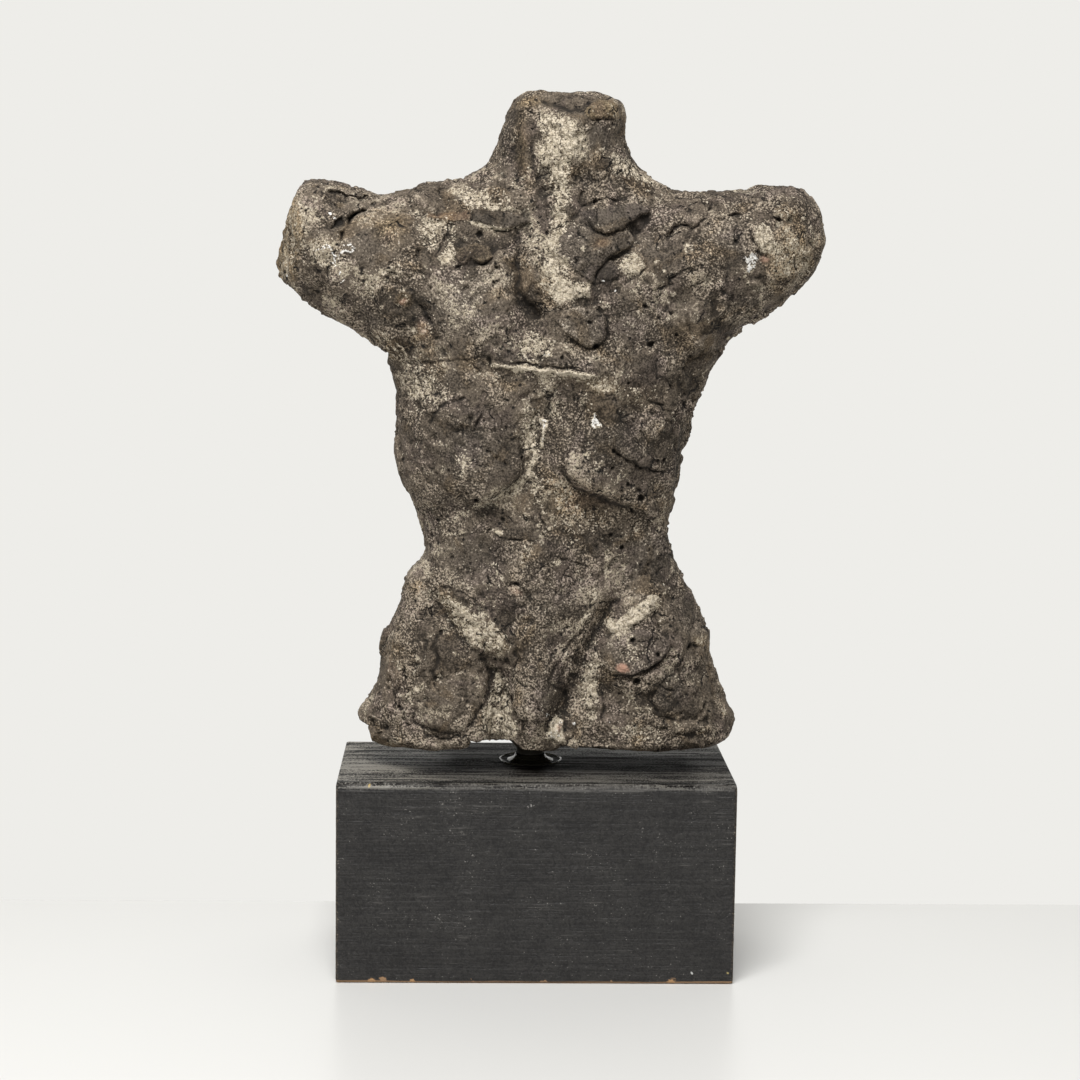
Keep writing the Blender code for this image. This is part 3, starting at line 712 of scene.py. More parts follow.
def mark_right_arm(board):
    """The slab at the end, its three cracks, and two patches of lime."""
    board.crack([(73, 270), (71, 266), (67.5, 263.5), (63, 262.5), (59.5, 261.5), (57, 262)], 0.6, 1.4)
    board.crack([(58, 268), (56, 264.5), (53, 260.5), (51, 258), (49, 257)], 0.5, 1.1)
    board.shelf([(49.5, 257), (53, 260.5), (56, 264.5), (57.5, 267)], 5.0, 0.9)
    board.crack([(65.5, 262.5), (68.5, 259.5), (70, 256), (72, 252.5), (73.5, 249)], 0.7, 1.8)
    board.shelf([(66, 262), (68.5, 259.5), (70, 256), (72, 252.5), (73, 249.5)], 6.0, 1.1)
    board.slab([(71, 258), (73.5, 260.5), (76.5, 259.5), (77, 255.5), (78.5, 253), (76.5, 250), (73, 250),
                (71.5, 254)], 0.6, 0.3, 0.3, lime=1.3)
    board.slab([(67.5, 248), (70.5, 250), (72.5, 248.5), (71.5, 245), (68.5, 243)], 0.5, 0.8,
               white=0.7, lime=0.8)
    board.oval((74.5, 248), (1.3, 0.9), 0.5, -20, 0.5, pink=0.5, lime=0.8)
    board.crack([(76.5, 263), (80.5, 261.5), (81.5, 260)], 0.5, 1.0)
    # grooves down the arm, darkened with painted shade
    board.line([(62, 248), (62, 242), (62, 238)], 0.9, -1.0, dark=0.5)
    board.line([(61, 238), (58, 234.5), (58, 228)], 1.6, -1.3, dark=0.5)
    board.tint((84, 251), (6, 8), lime=0.4, warm=0.6)
    board.crack([(80, 255), (82.5, 253.5), (84, 251), (83, 248)], 0.4, 0.8)
    board.crack([(85.5, 256), (87, 252.5), (86, 249.5)], 0.4, 0.8)
    board.tint((81, 262), (5, 4), lime=0.5)
    board.tint((90, 247), (3, 5), lime=0.5, warm=0.4)
    board.flecks(1.0, (64, 221), (83, 243), (88, 262), lime=1.2)
    board.oval((80.5, 232), (1.4, 1.2), 1.0, 0, 0.5)
    board.pits((79.5, 262, 1.0), (64.5, 254, 0.7), (86, 245, 0.7))
    board.swell((64, 253), (6, 8), 0.3, dark=0.2, calm=0.7)
    board.swell((70, 234), (8, 5), 0.2, 20, calm=0.5)


# %% Chest and rib marks
CHEST_LINE = [(-18.5, 212), (-4, 210.5), (6, 209.5), (13.5, 209), (19, 208.5)]
LEFT_RIBS = [(-25, 164.5), (-20.5, 166.5), (-15, 169), (-11, 171.5), (-7, 176), (-6, 184)]
RIGHT_RIBS = [(8, 181), (9, 176), (11, 173), (16, 170), (20.5, 167.5), (26, 166), (31, 164), (40, 160)]


def mark_chest(board):
    """The white step across the chest, the rib edges, their cracks and the flecks of lime."""
    # painted shadow: a dark groove and a dark band above the white step
    board.line([(x, z + 1.6) for x, z in CHEST_LINE], 0.6, -1.3, dark=1.2)
    board.line([(x, z + 3.6) for x, z in CHEST_LINE], 2.2, -0.4, dark=0.5, calm=0.6)
    board.crack([(-17.5, 216.5), (-17.5, 213.5), (-17.5, 211)], 0.6, 1.2)
    board.line(CHEST_LINE, 0.7, 1.3, lime=3.0)
    board.line([(-46, 211), (-40, 212), (-32, 212.5), (-25, 213.5), (-17, 214.5)], 0.5, -0.7, dark=0.75)
    board.shelf([(-17, 212), (-4, 210.5), (6, 209.5), (20.5, 208.5)], 5.0, 0.7)
    board.line([(-4, 224), (-3, 215), (1, 208), (2, 199)], 5.5, 0.0, lime=0.85)
    board.oval((2, 215.5), (1.8, 1.2), 0.3, 0, 0.4, white=0.3, lime=1.6)
    board.line([(10, 207), (19, 205), (30, 204)], 2.6, 0.0, lime=0.7, warm=0.5)
    board.shelf(LEFT_RIBS, 7.0, 1.9, 0.6)
    # painted shadow along the lower edge of the left ribs
    board.line([(x + 0.5, z - 1.2) for x, z in LEFT_RIBS], 0.9, -1.0, dark=0.85)
    board.line([(x + 1.6, z - 3.2) for x, z in LEFT_RIBS[1:]], 1.2, 0.2, lime=0.9)
    board.shelf(RIGHT_RIBS, 7.0, 2.4, 0.6)
    # painted shadow along the lower edge of the right ribs
    board.line([(x - 0.4, z - 1.3) for x, z in RIGHT_RIBS], 1.2, -1.3, dark=0.8)
    board.crack([(-39, 188), (-36, 195.5), (-31.5, 198.5), (-26, 200), (-20.5, 199.5)], 0.8, 1.0)
    board.crack([(-19.5, 196), (-21, 193), (-23, 189)], 0.6, 1.0)
    board.crack([(23.5, 183.5), (26, 182), (31.5, 179.5), (34, 177), (42, 175)], 0.8, 1.8)
    board.shelf([(42, 175), (34, 177), (31.5, 179.5), (26, 182), (23.5, 183.5)][::-1], 5.0, 1.2)
    # a round hollow darkened with painted shade
    board.oval((29.5, 194.5), (4.4, 4.6), -1.7, 15, 0.6, dark=0.35)
    board.crack([(15.5, 199.5), (13.5, 196), (12, 193)], 0.6, 1.1)
    board.crack([(36, 200), (42, 198), (47, 199)], 0.6, 1.0)
    board.pits((-6.5, 180, 0.9), (-21.5, 166, 1.4), (24.5, 183, 1.1), (40, 179, 0.8), (42.5, 179.5, 0.9),
               (24, 177.5, 0.7), (30, 171.5, 0.9), (28, 169.5, 0.7), (34, 169, 1.0), (34.5, 166.5, 1.6),
               (31.5, 162, 0.8), (43.5, 205, 0.9), (-12, 178.5, 0.6), (-31, 176, 0.5))
    board.slab([(0, 194), (2, 193.5), (1.5, 189), (1.0, 184), (0, 184.5), (0.5, 189)], 0.6, 0.3, 0.2,
               white=0.45, lime=2.4)
    board.slab([(-4.5, 189), (-3, 190.5), (-1.5, 184), (-1, 178), (-3, 173.5), (-5.5, 173.5), (-4, 178),
                (-3, 183)], 0.4, 0.4, 0.3, lime=1.4)
    board.oval((-4, 190), (0.9, 2.6), 0.2, 0, 0.5, lime=1.0)
    board.oval((-2.5, 174.5), (1, 1.8), 0.2, 0, 0.5, lime=0.9)
    board.slab([(16.5, 191.5), (17, 194), (18, 196.5), (18.5, 194), (20, 193), (19.5, 191)], 0.5, 0.4, 0.4,
               white=0.6, lime=1.8)
    board.line([(-6, 206), (-3, 195), (-3, 182), (-2, 168)], 3.0, 0.0, lime=0.9)
    board.line([(-4, 175), (-12, 169.5), (-20, 165), (-30, 158)], 2.2, 0.1, lime=0.95)
    board.line([(-28, 186), (-28.5, 180), (-27, 172)], 0.6, 0.1, lime=0.7)
    board.line([(9, 203), (14, 201), (17, 197)], 1.6, 0.1, lime=0.6)
    board.line([(43, 201), (45, 192), (42, 184)], 1.8, 0.1, lime=0.5)
    board.tint((-41, 204), (6, 8), lime=0.85)
    board.tint((-27, 178), (6, 10), lime=0.45)
    board.tint((33, 203), (7, 5), lime=0.6, warm=0.4)
    board.tint((24, 178), (14, 6), -25, lime=0.4)
    board.swell((-23, 184), (12, 12), 0.4, dark=0.3, calm=0.8)
    board.swell((25, 184), (15, 12), 0.3, dark=0.38, calm=0.6)
    board.tint((44, 222), (12, 14), dark=0.3, calm=0.3)
    board.tint((36, 208), (9, 8), dark=0.2, calm=0.5)
    board.tint((-33, 206), (9, 5), dark=0.15, calm=0.4)
    board.tint((35, 226), (15, 9), dark=0.2, calm=0.2)


# %% Belly marks
def mark_belly(board):
    """The waist crease, the folds of the navel, and thin falls of lime."""
    board.crack([(-29.5, 152), (-24, 153.5), (-19, 154.5), (-16.5, 155.5)], 0.4, 0.6)
    board.crack([(-16, 154.5), (-13, 152.5), (-8, 152), (0, 152.5)], 0.5, 0.9)
    board.line([(-34, 152.5), (-27, 153.5), (-19, 154.5)], 0.7, 0.1, lime=0.8)
    board.oval((-14, 154.5), (2.5, 1.3), 0.3, -25, 0.5, lime=1.0)
    board.crack([(3, 153), (4, 147), (2, 143)], 0.5, 0.9)
    board.crack([(4.5, 147.5), (9.5, 145.5), (15, 144)], 0.5, 0.9)
    board.crack([(2.5, 146), (3, 142), (0.5, 139)], 0.5, 0.8)
    board.crack([(-1, 165), (0, 160.5), (2.5, 156)], 0.5, 0.8)
    board.swell((7, 150), (4, 3.5), 0.6, 20)
    board.swell((-3, 148.5), (5, 4), 0.5, lime=0.5)
    board.line([(0, 158), (1.5, 150), (1, 144)], 1.4, 0.0, lime=0.75)
    board.oval((6, 145), (2.6, 1.2), 0.2, 20, 0.5, lime=1.1)
    board.flecks(0.8, (1, 162), (4, 160), (-0.5, 157.5), (3, 156), (6, 163), (-5, 161), lime=1.2)
    board.line([(23.5, 152), (23.5, 146), (22.5, 137)], 0.9, 0.2, lime=0.95)
    board.line([(22, 137), (19, 131), (14, 120)], 1.0, 0.2, lime=0.9)
    board.line([(-41, 146), (-39, 141), (-35.5, 136)], 1.3, 0.1, lime=0.8)
    board.line([(-16, 146), (-14, 140), (-11, 137)], 0.7, 0.2, lime=0.85)
    board.crack([(-11, 136.5), (-8, 137), (-6, 138)], 0.9, 1.0)
    board.oval((-8, 134.5), (1.6, 1), 0.2, -20, 0.5, pink=0.35, lime=0.8)
    board.pits((-12.5, 159, 0.8), (-37, 152, 0.9), (-17.5, 155.5, 0.7), (25, 153.5, 0.9), (28.5, 149, 1.1),
               (-33.5, 159, 0.7), (44, 147.5, 0.8), (8, 126.5, 0.6), (12, 141, 0.5), (-34.5, 157.5, 0.8))
    board.flecks(0.8, (41, 154), (44, 133), (-16, 143), (11, 152), lime=1.2)
    board.tint((12, 165), (10, 6), warm=0.7)
    board.tint((-2, 166), (9, 6), lime=0.4)
    board.swell((10, 157), (12, 7), 0.2, lime=0.42)
    board.swell((-22, 146), (11, 9), 0.3, calm=0.7)
    board.swell((38, 145), (8, 10), 0.3, dark=0.25, calm=0.9)
    board.swell((6, 131), (12, 8), 0.2, calm=0.5)
    board.tint((-30, 165), (7, 5), dark=0.2, calm=0.5)
    board.tint((-6, 151), (26, 11), dark=0.22, calm=0.25)


# %% Groin and thigh marks, viewer's left
LEFT_GROIN = [(-35, 132), (-30.5, 133), (-23.5, 127), (-17.5, 125.5), (-12.5, 120.5), (-9.5, 115),
              (-12.5, 111.5), (-18, 113), (-23.5, 115.5), (-28.5, 122)]
INNER_FACE = [(-14, 106), (-10, 103.5), (-9, 91), (-6.5, 87.5), (-7, 83.5), (-18.5, 81.5), (-20, 91),
              (-16, 95), (-15.5, 101.5)]
THIGH_BALL = [(-43.5, 92), (-41.5, 87.5), (-36.5, 85.5), (-30.5, 84.5), (-24.5, 85.5), (-21.5, 90),
              (-21.5, 96)]


def mark_left_thigh(board):
    """The band of lime in the groin, the ball at the hem, and the creases between."""
    board.slab(LEFT_GROIN, 0.3, 0.6, 0.5, lime=0.8, warm=0.3)
    board.line([(-34, 132), (-28, 129), (-23, 124.5), (-17, 123)], 1.3, 0.3, lime=1.5)
    board.line([(-27, 123), (-21, 117.5), (-15, 113)], 1.3, 0.3, lime=1.4)
    board.flecks(0.8, (-22, 121), (-18.5, 119.5), (-15, 120.5), (-13, 117), (-16, 116.5), (-20, 123.5),
                 (-25, 127), (-11.5, 119), (-18, 114.5), (-29, 126), lime=1.7)
    board.crack([(-36, 138), (-33, 135), (-25, 133), (-18, 128)], 0.6, 0.8)
    board.crack([(-46, 106), (-45.5, 103), (-45, 98.5)], 0.5, 1.0)
    board.line([(-38, 103), (-40.5, 99.5), (-44, 98), (-43.5, 93.5)], 0.7, 0.3, lime=1.1)
    # creases darkened with painted shade, here and round the ball below
    board.line([(-33.5, 120.5), (-36, 114), (-34, 111), (-36.5, 106), (-35, 100)], 0.9, -1.5, dark=0.85)
    board.shelf([(-35, 100), (-36.5, 106), (-34, 111), (-36, 114), (-33.5, 120.5)], 4.0, 0.7)
    board.swell((-31.5, 94), (9, 8), 1.6, dark=0.15)
    board.line(THIGH_BALL, 0.9, -1.3, dark=0.7)
    board.line([(-41, 84.5), (-33.5, 82.5), (-25, 84)], 0.7, -1.0, dark=0.6)
    # the hollow between the thigh and the middle, darkened with painted shadow
    board.line([(-19, 112), (-15.5, 103), (-17.5, 95.5), (-20.5, 91.5), (-22, 87), (-23.5, 82)], 1.3, -1.6,
               dark=0.8)
    board.slab(INNER_FACE, 0.3, 1.0, lime=0.78)
    board.line([(-12.5, 112), (-9, 107), (-9, 95), (-5.5, 89.5), (-4.5, 82.5)], 1.0, -1.3, dark=0.7)
    board.pits((-47, 92, 1.0), (-33.5, 119, 1.0), (-35.5, 101.5, 0.7), (-40, 125, 0.7), (-26, 100, 0.5),
               (-38, 96, 0.5))
    board.flecks(0.9, (-46, 96.5), (-21, 104), (-23, 129), (-41, 110), (-28, 112), lime=1.2)
    board.oval((-33, 105), (2, 2.6), 0.3, 0, 0.5, lime=0.6)
    board.shelf([(-54, 96), (-48, 90), (-44, 84)][::-1], 5.0, 0.9)
    board.line([(-60, 86), (-52, 85), (-44, 86)], 1.1, -0.8, dark=0.4)
    board.line([(-59, 81.5), (-48, 81), (-36, 80.5), (-24, 80)], 1.5, 1.0)
    board.crack([(-60, 85), (-53, 84), (-47, 84.5)], 0.7, 0.9)
    board.crack([(-41, 82.5), (-36, 83.5), (-30, 82.5), (-25, 84.5)], 0.6, 0.8)
    board.swell((-45, 117), (6, 9), 0.4, dark=0.15)
    board.tint((-30, 94), (8, 7), dark=0.15, calm=0.3)
    board.tint((-50, 108), (4, 10), lime=0.35, warm=0.3)
    board.line([(-55, 100), (-58, 93), (-61, 87)], 1.6, 0.0, lime=0.55)


# %% Groin and thigh marks, viewer's right
GROIN_BAR = [(24.5, 122.5), (27, 120), (31, 121.5), (35, 124.5), (42, 129), (41.5, 132), (39, 132.5),
             (32, 128)]
ROUND_LUMP = [(22, 112.5), (23, 118), (28, 120.5), (35, 121.5), (41.5, 120), (45.5, 117.5), (45, 114),
              (42.5, 111), (38, 108), (32, 106), (26.5, 106.5), (22.5, 109.5)]
PALE_RECESS = [(15.5, 109.5), (22.5, 110.5), (20.5, 100), (22, 92.5), (19, 87.5), (16, 96)]
LOBE_EDGE = [(17, 123), (9.5, 114.5), (3.5, 103.5), (10, 98.5), (10.5, 90), (11, 82)]
CREAM_FLECK = [(4.5, 89), (6.5, 90.5), (9, 89.5), (9, 86.5), (10, 83), (7.5, 81.5), (5.5, 83.5),
               (3.5, 82.5), (4.5, 86)]


def mark_right_thigh(board):
    """The lime bar, the round lump under it, the pale recess and the shelf above the hem."""
    # the fold beside the middle, darkened with painted shade
    board.line([(31, 134), (24.5, 127.5), (20.5, 120.5), (15, 113)], 2.4, -1.5, dark=0.55)
    board.slab(ROUND_LUMP, 2.2, 0.5, calm=0.5)
    # painted shadow under the round lump's lower edge
    board.line([(46, 115), (43, 111), (40.5, 109), (37, 107), (32, 105.5), (27, 106)], 0.9, -1.3, dark=0.85)
    board.slab(GROIN_BAR, 1.0, 0.5, 0.3, lime=1.7)
    board.oval((25.5, 122.5), (2.2, 2), 0.9, 0, 0.4, lime=1.8)
    board.line([(45, 133.5), (43, 135)], 0.8, 0.3, lime=1.0)
    board.line([(41, 134.5), (46, 138.5)], 0.5, 0.2, lime=0.8)
    board.pits((32.5, 118, 1.2), (41.5, 113, 1.0), (34.5, 103.5, 1.6), (52.5, 114.5, 1.1), (18.5, 97, 0.8),
               (38, 103, 0.7), (28, 99, 0.6))
    board.oval((29, 108.5), (2.4, 1.5), 0.6, -20, 0.3, pink=1.1)
    board.oval((45.5, 99.5), (4.6, 7), 1.0, 0, 0.4, dark=0.35, calm=0.7)
    board.crack([(42, 102), (44.5, 100.5), (47.5, 99.5)], 0.5, 0.9)
    board.line([(38.5, 98), (41.5, 92.5), (43.5, 90), (51.5, 89)], 0.9, -1.3, dark=0.7)
    board.line([(41, 84.5), (51, 85.5), (58.5, 86), (64.5, 83)], 1.2, 0.9)
    board.line([(12, 80.5), (25, 80), (45, 81), (62, 81.5)], 1.5, 1.0)
    board.crack([(40, 84), (41, 81), (41.5, 78.5)], 0.6, 0.9)
    board.slab(PALE_RECESS, -0.8, 1.0, 1.4, lime=0.9)
    board.line(LOBE_EDGE, 1.0, -1.2, dark=0.65)
    board.line([(23, 111), (21.5, 101), (23.5, 93), (21, 86)], 0.9, -1.2, dark=0.6)
    board.line([(29, 101), (34, 95), (40, 92)], 1.6, 0.3, lime=0.75)
    board.tint((35, 86), (8, 3.5), lime=0.55)
    board.flecks(1.0, (58, 84.5), (36, 83), (66.5, 89.5), (38, 83), lime=0.9, warm=0.9)
    board.slab(CREAM_FLECK, 1.0, 0.3, 0.2, white=0.38, lime=3.0)
    board.oval((8, 87), (1.0, 1.2), 0.3, 0, 0.4, pink=0.6)
    board.flecks(0.8, (3.5, 91.5), (13, 88), (25, 89), white=0.8)
    board.crack([(51.5, 114), (53.5, 115), (57, 112.5)], 0.8, 1.3)
    board.oval((57, 115.5), (3, 1.6), 0.5, -20, 0.5, lime=0.6, warm=0.5)
    board.swell((53, 128), (6, 9), 0.3, calm=0.5)
    board.swell((3, 100), (6, 10), 0.3, dark=0.1, calm=0.5)
    board.tint((33, 113), (9, 6), lime=0.4)
    board.tint((54, 99), (6, 8), dark=0.15)


def marked(points):
    """A board with every mark laid on it."""
    board = Board(points)
    for lay_marks in (mark_neck, mark_left_collar, mark_right_collar, mark_left_arm, mark_right_arm,
                      mark_chest, mark_belly, mark_left_thigh, mark_right_thigh):
        lay_marks(board)
    return board


# %% [markdown]
# ## Carving the clay
#
# The arm ends and the hem were cut flat while the clay was soft, so their corners are
# drawn out a little and then sliced by planes. The marks belong to the front and fade
# out where the surface turns away. Dabs and grain are solid patterns, so they wrap
# round the sides and back, which are left rougher. Last, every point is held inside
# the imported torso's own box.

# %% Cut ends
# corners drawn out: across and up, then how far each moves across and up
CORNERS = (
    (-82.0, 272.5, -1.2, 0.8), (89.0, 272.5, 0.4, 0.2), (26.0, 301.0, 0.4, 0.8), (17.0, 303.0, 0.0, 1.2),
    (28.5, 290.0, -1.3, 0.0), (-91.0, 241.5, -0.6, -0.8), (-55.0, 270.0, 0.0, -1.5), (-42.0, 271.0, 0.0, 1.3),
)
# planes that cut the arms: a point on each, the way it faces, and where along the arm it starts
ARM_CUTS = (
    ((-81.5, -19.0, 260.0), (-0.912, -0.41, 0.0), 76.0),
    ((-82.0, 0.0, 272.5), (-0.95, 0.0, 0.312), 76.0),
    ((90.5, -19.5, 260.0), (0.75, -0.66, 0.0), 76.0),
    ((91.5, 0.0, 273.2), (0.86, 0.0, 0.51), 76.0),
    ((-80.0, 0.0, 232.0), (-0.532, 0.0, -0.847), 53.0),
)
# the wavy lower edge of the hem in front: across, and height above the lowest point
HEM_LINE = ((-60, 5.5), (-56, 4.5), (-47, 4.0), (-38, 3.0), (-30, 3.0), (-26.5, 3.5), (-23.5, 7.0),
            (-9, 7.0), (-4.5, 3.5), (5.5, 3.5), (9, 5.0), (17, 4.5), (25.5, 4.0), (36, 3.5), (41, 3.0),
            (53, 4.0), (63, 4.5), (66, 6.0))
# the left end of the hem: height, and the furthest left it goes there
LEFT_END = ((80, -57.0), (84.5, -58.0), (86.5, -62.0), (92, -70), (200, -100))
CORNER_REACH = 5.0      # how far round a corner the clay is drawn out, in millimetres
ARMS_ABOVE = 200.0      # height above which the arm cuts apply
HEM_BAND = 12.0         # height of the band at the hem that is flared and let down
HEM_FLARE = 0.03        # share by which the hem widens
HEM_DROP = 2.4          # how far the hem is let down, in millimetres
HEM_MIDDLE = (4.0, 2.0)     # the place, across and deep, that the hem widens from
HEM_TILT = 0.21         # how much lower the hem is for each millimetre back from its front
HEM_FRONT = -20.0       # where that slope begins
NECK_TOP = 303.8
UNDERSIDE_BELOW = 84.0  # faces below this height that look down are kept flatter


def trimmed(points):
    """Draw the corners out, then cut the arm ends and the hem."""
    points = points.copy()
    for across, upright, out, up in CORNERS:
        away = (points[:, 0] - across) ** 2 + (points[:, 2] - upright) ** 2
        near = np.exp(-away / CORNER_REACH**2)
        points[:, 0] += out * near
        points[:, 2] += up * near
    for start, facing, reach in ARM_CUTS:
        facing = np.array(facing) / np.linalg.norm(facing)
        outside = step(reach - 1.0, reach + 1.0, np.abs(points[:, 0])) * (points[:, 2] > ARMS_ABOVE)
        outside *= points[:, 0] * start[0] > 0.0
        points -= (np.clip((points - start) @ facing, 0.0, None) * outside)[:, None] * facing
    floor = torso_box[0, 2]
    low = step(floor + HEM_BAND, floor, points[:, 2])
    points[:, :2] = (points[:, :2] - HEM_MIDDLE) * (1.0 + HEM_FLARE * low[:, None]) + HEM_MIDDLE
    points[:, 2] -= HEM_DROP * low
    points[:, 0] = np.maximum(points[:, 0], np.interp(points[:, 2], *zip(*LEFT_END)))
    jog = 0.6 * grain(points, 3.0, 3, 2)
    rise = np.interp(points[:, 0] + jog, *zip(*HEM_LINE)) + jog
    rise = rise - HEM_TILT * np.clip(points[:, 1] - HEM_FRONT, 0.0, None)
    hem = floor + np.clip(rise, 0.0, None)
    points[:, 2] = np.clip(points[:, 2], hem, NECK_TOP + 0.5 * jog)
    return points


# %% Carve the skin
def carve(mesh):
    """Trim, press, tear and pit the clay."""
    points = trimmed(read_points(mesh))
    write_points(mesh, points)
    normals = read_points(mesh, "normal")
    facing_front = step(0.1, 0.6, -normals[:, 1])
    under = step(0.6, 0.9, -normals[:, 2]) * (points[:, 2] < UNDERSIDE_BELOW)
    board = marked(points)
    wander = np.stack([grain(points, 7.0, seed, 2) for seed in (5, 6, 7)], axis=1)
    ragged = 0.16 * grain(points, 2.2, 8, 2)
    patchy = step(-0.1, 0.7, grain(points, 19.0, 15, 2))
    limed = np.clip(board.paint["lime"], 0.0, 1.2)
    # dabs as wide as a thumb, then pellets, crumbs and broken lime, each about its own middle
    rough = 1.2 * (pellets(points + 1.5 * wander, 17.0, 31, ragged) - 0.45)
    rough += (0.5 + 0.75 * patchy) * (pellets(points + wander, 8.0, 57, ragged) - 0.4)
    rough += (0.15 + 0.5 * patchy) * (pellets(points + 0.4 * wander, 3.6, 77, ragged) - 0.4)
    rough += 0.55 * limed * (pellets(points + 0.4 * wander, 2.6, 97, ragged) - 0.4)
    rough -= 0.8 * crackle(points, 9.0, 0.4, 61)
    rough *= 1.0 - 0.7 * facing_front * np.clip(board.paint["calm"], 0.0, 1.2)
    # sand all over, and small torn holes in places
    rough += 0.16 * grain(points, 1.6, 43) + 0.12 * grain(points, 0.9, 45)
    rough -= 0.8 * step(0.66, 0.82, grain(points, 2.1, 71)) * step(0.1, 0.6, grain(points, 14.0, 72))
    points[:, 1] -= board.relief * facing_front
    points += normals * (rough * (1.0 - 0.8 * under))[:, None]
    write_points(mesh, np.clip(points, torso_box[0], torso_box[1]))


carve(skin)
print("carved after", round(time.time() - started, 1), "s")

# %% [markdown]
# ## Thinning the skin
#
# A skin this dense is heavier than it needs to be. The sides and back are plainer, so
# Decimate thins them first, guided by a vertex group: points with no weight are left
# alone. A second, even pass takes away the faces that matter least all over and
# leaves the torn edges sharp. A plain remesh at a larger voxel would blur them.

# %% Thin the skin
HIDDEN_TRIANGLES = 40_000
SKIN_TRIANGLES = 168_000     # leaves room for the crumbs under 200,000


def triangle_count(mesh):
    """How many triangles a mesh makes."""
    return sum(len(face.vertices) - 2 for face in mesh.polygons)


def thinned(mesh):
    """Thin the hidden faces hard, then the whole skin to its budget."""
    hidden = read_points(mesh, "normal")[:, 1] > 0.15
    corners = np.empty(len(mesh.loops), dtype=np.int32)
    mesh.loops.foreach_get("vertex_index", corners)
    hidden_share = hidden[corners].mean()
    total = triangle_count(mesh)
    holder = placed("thinning", mesh)
    group = holder.vertex_groups.new(name="hidden")
    group.add(np.flatnonzero(hidden).tolist(), 1.0, "REPLACE")
    first = holder.modifiers.new("hidden", "DECIMATE")
    first.vertex_group = "hidden"
    first.ratio = 1.0 - hidden_share + HIDDEN_TRIANGLES / total
    made = plain_mesh(holder, "thinned")
    bpy.data.meshes.remove(mesh)
    left = triangle_count(made)
    print("hidden side thinned:", total, "to", left, "triangles")
    return baked("torso_clay", made, ("DECIMATE", {"ratio": min(1.0, SKIN_TRIANGLES / left)}))


torso_mesh = thinned(skin)
torso_mesh.shade_smooth()
print("torso:", triangle_count(torso_mesh), "triangles after", round(time.time() - started, 1), "s")

# %% [markdown]
# ## Paint on the points
#
# A shader can't know where the groin is, so each paint on the board is stored on the
# points as a plain number, and the shader breaks its edges up with fine noise. How
# hollow each point is comes from the mesh itself: a hollow point lies below the
# average of its neighbours once that average has spread a few times. Lime settles
# there, and the shader darkens the hollows there with painted shade.

# %% Paint the torso
def hollows(mesh, rounds):
    """How far each point lies below its surroundings, in millimetres."""
    count = len(mesh.vertices)
    ends = np.empty(len(mesh.edges) * 2, dtype=np.int32)
    mesh.edges.foreach_get("vertices", ends)
    ends = ends.reshape(-1, 2)
    links = np.bincount(ends.ravel(), minlength=count)[:, None]
    points = read_points(mesh)
    spread = points.copy()
    for _ in range(rounds):
        total = np.zeros_like(spread)
        for axis in range(3):
            total[:, axis] = np.bincount(ends[:, 0], spread[ends[:, 1], axis], count)
            total[:, axis] += np.bincount(ends[:, 1], spread[ends[:, 0], axis], count)
        spread = 0.5 * spread + 0.5 * total / links
    return np.einsum("ij,ij->i", spread - points, read_points(mesh, "normal"))


def paint(mesh, name, values):
    """Store one number for each point."""
    layer = mesh.attributes.new(name, "FLOAT", "POINT")
    layer.data.foreach_set("value", np.asarray(values, dtype=np.float32))


points = read_points(torso_mesh)
board = marked(points)
# the board's paint belongs to the front; the sides and back get patches of lime by chance
front = step(0.05, 0.5, -read_points(torso_mesh, "normal")[:, 1])
elsewhere = step(0.35, 0.8, grain(points, 22.0, 91, 2)) * 0.6
for name in PAINTS:
    around = elsewhere if name == "lime" else 0.0
    paint(torso_mesh, name, front * board.paint[name] + (1.0 - front) * around)
hollow = hollows(torso_mesh, 14)
paint(torso_mesh, "hollow", np.clip(hollow / 0.8, -1.0, 1.0))
print("hollow depths in mm:", np.percentile(hollow, (5, 50, 95)).round(2))

# %% [markdown]
# ## Torso clay
#
# The clay is a dark warm grey-brown, matt and sandy, never one flat colour. The finish
# is layered as the real one grew: body colour that drifts from brown to purple-grey,
# sand in strong light and dark specks except where a thumb smoothed it, and lime that
# thickens where it was painted and where the surface is hollow. Last comes painted shade,
# darkening the cracks, creases and pin-holes. Noise gives the same grain at any distance.

# %% Torso finish
def weighed(tree, *terms):
    """The sum of values, each less its middle and times its weight."""
    total = 0.0
    for value, middle, weight in terms:
        centred = maths(tree, "SUBTRACT", value, middle)
        total = node(tree, "ShaderNodeMath", {"operation": "MULTIPLY_ADD"},
                     i0=centred, i1=weight, i2=total).outputs[0]
    return total


def tinted(tree, share, colour, tint):
    """Multiply a colour by a tint, by a share from 0 to 1."""
    return mix(tree, share, colour, mix(tree, 1.0, colour, tint, "MULTIPLY"))


def traces(tree, place, scale, width):
    """Thin wandering lines, where a noise crosses its middle."""
    wander = noise(tree, place, scale, 2.0, 0.5, 0.7)
    apart = maths(tree, "ABSOLUTE", maths(tree, "SUBTRACT", wander, 0.5))
    return ramp(tree, apart, width, 0.2 * width)


def shaken(tree, place, scale, reach):
    """Places jogged by noise, so that cells in them get torn edges."""
    jog = node(tree, "ShaderNodeTexNoise", None, Vector=place, Scale=scale, Detail=2.0)
    return node(tree, "ShaderNodeVectorMath", {"operation": "MULTIPLY_ADD"}, i0=jog.outputs["Color"],
                i1=(reach * MM,) * 3, i2=place).outputs["Vector"]


def cells(tree, place, scale, feature="F1"):
    """Distance from the middle, or from the edge, of random cells."""
    made = node(tree, "ShaderNodeTexVoronoi", {"feature": feature}, Vector=place, Scale=scale)
    return made.outputs["Distance"]


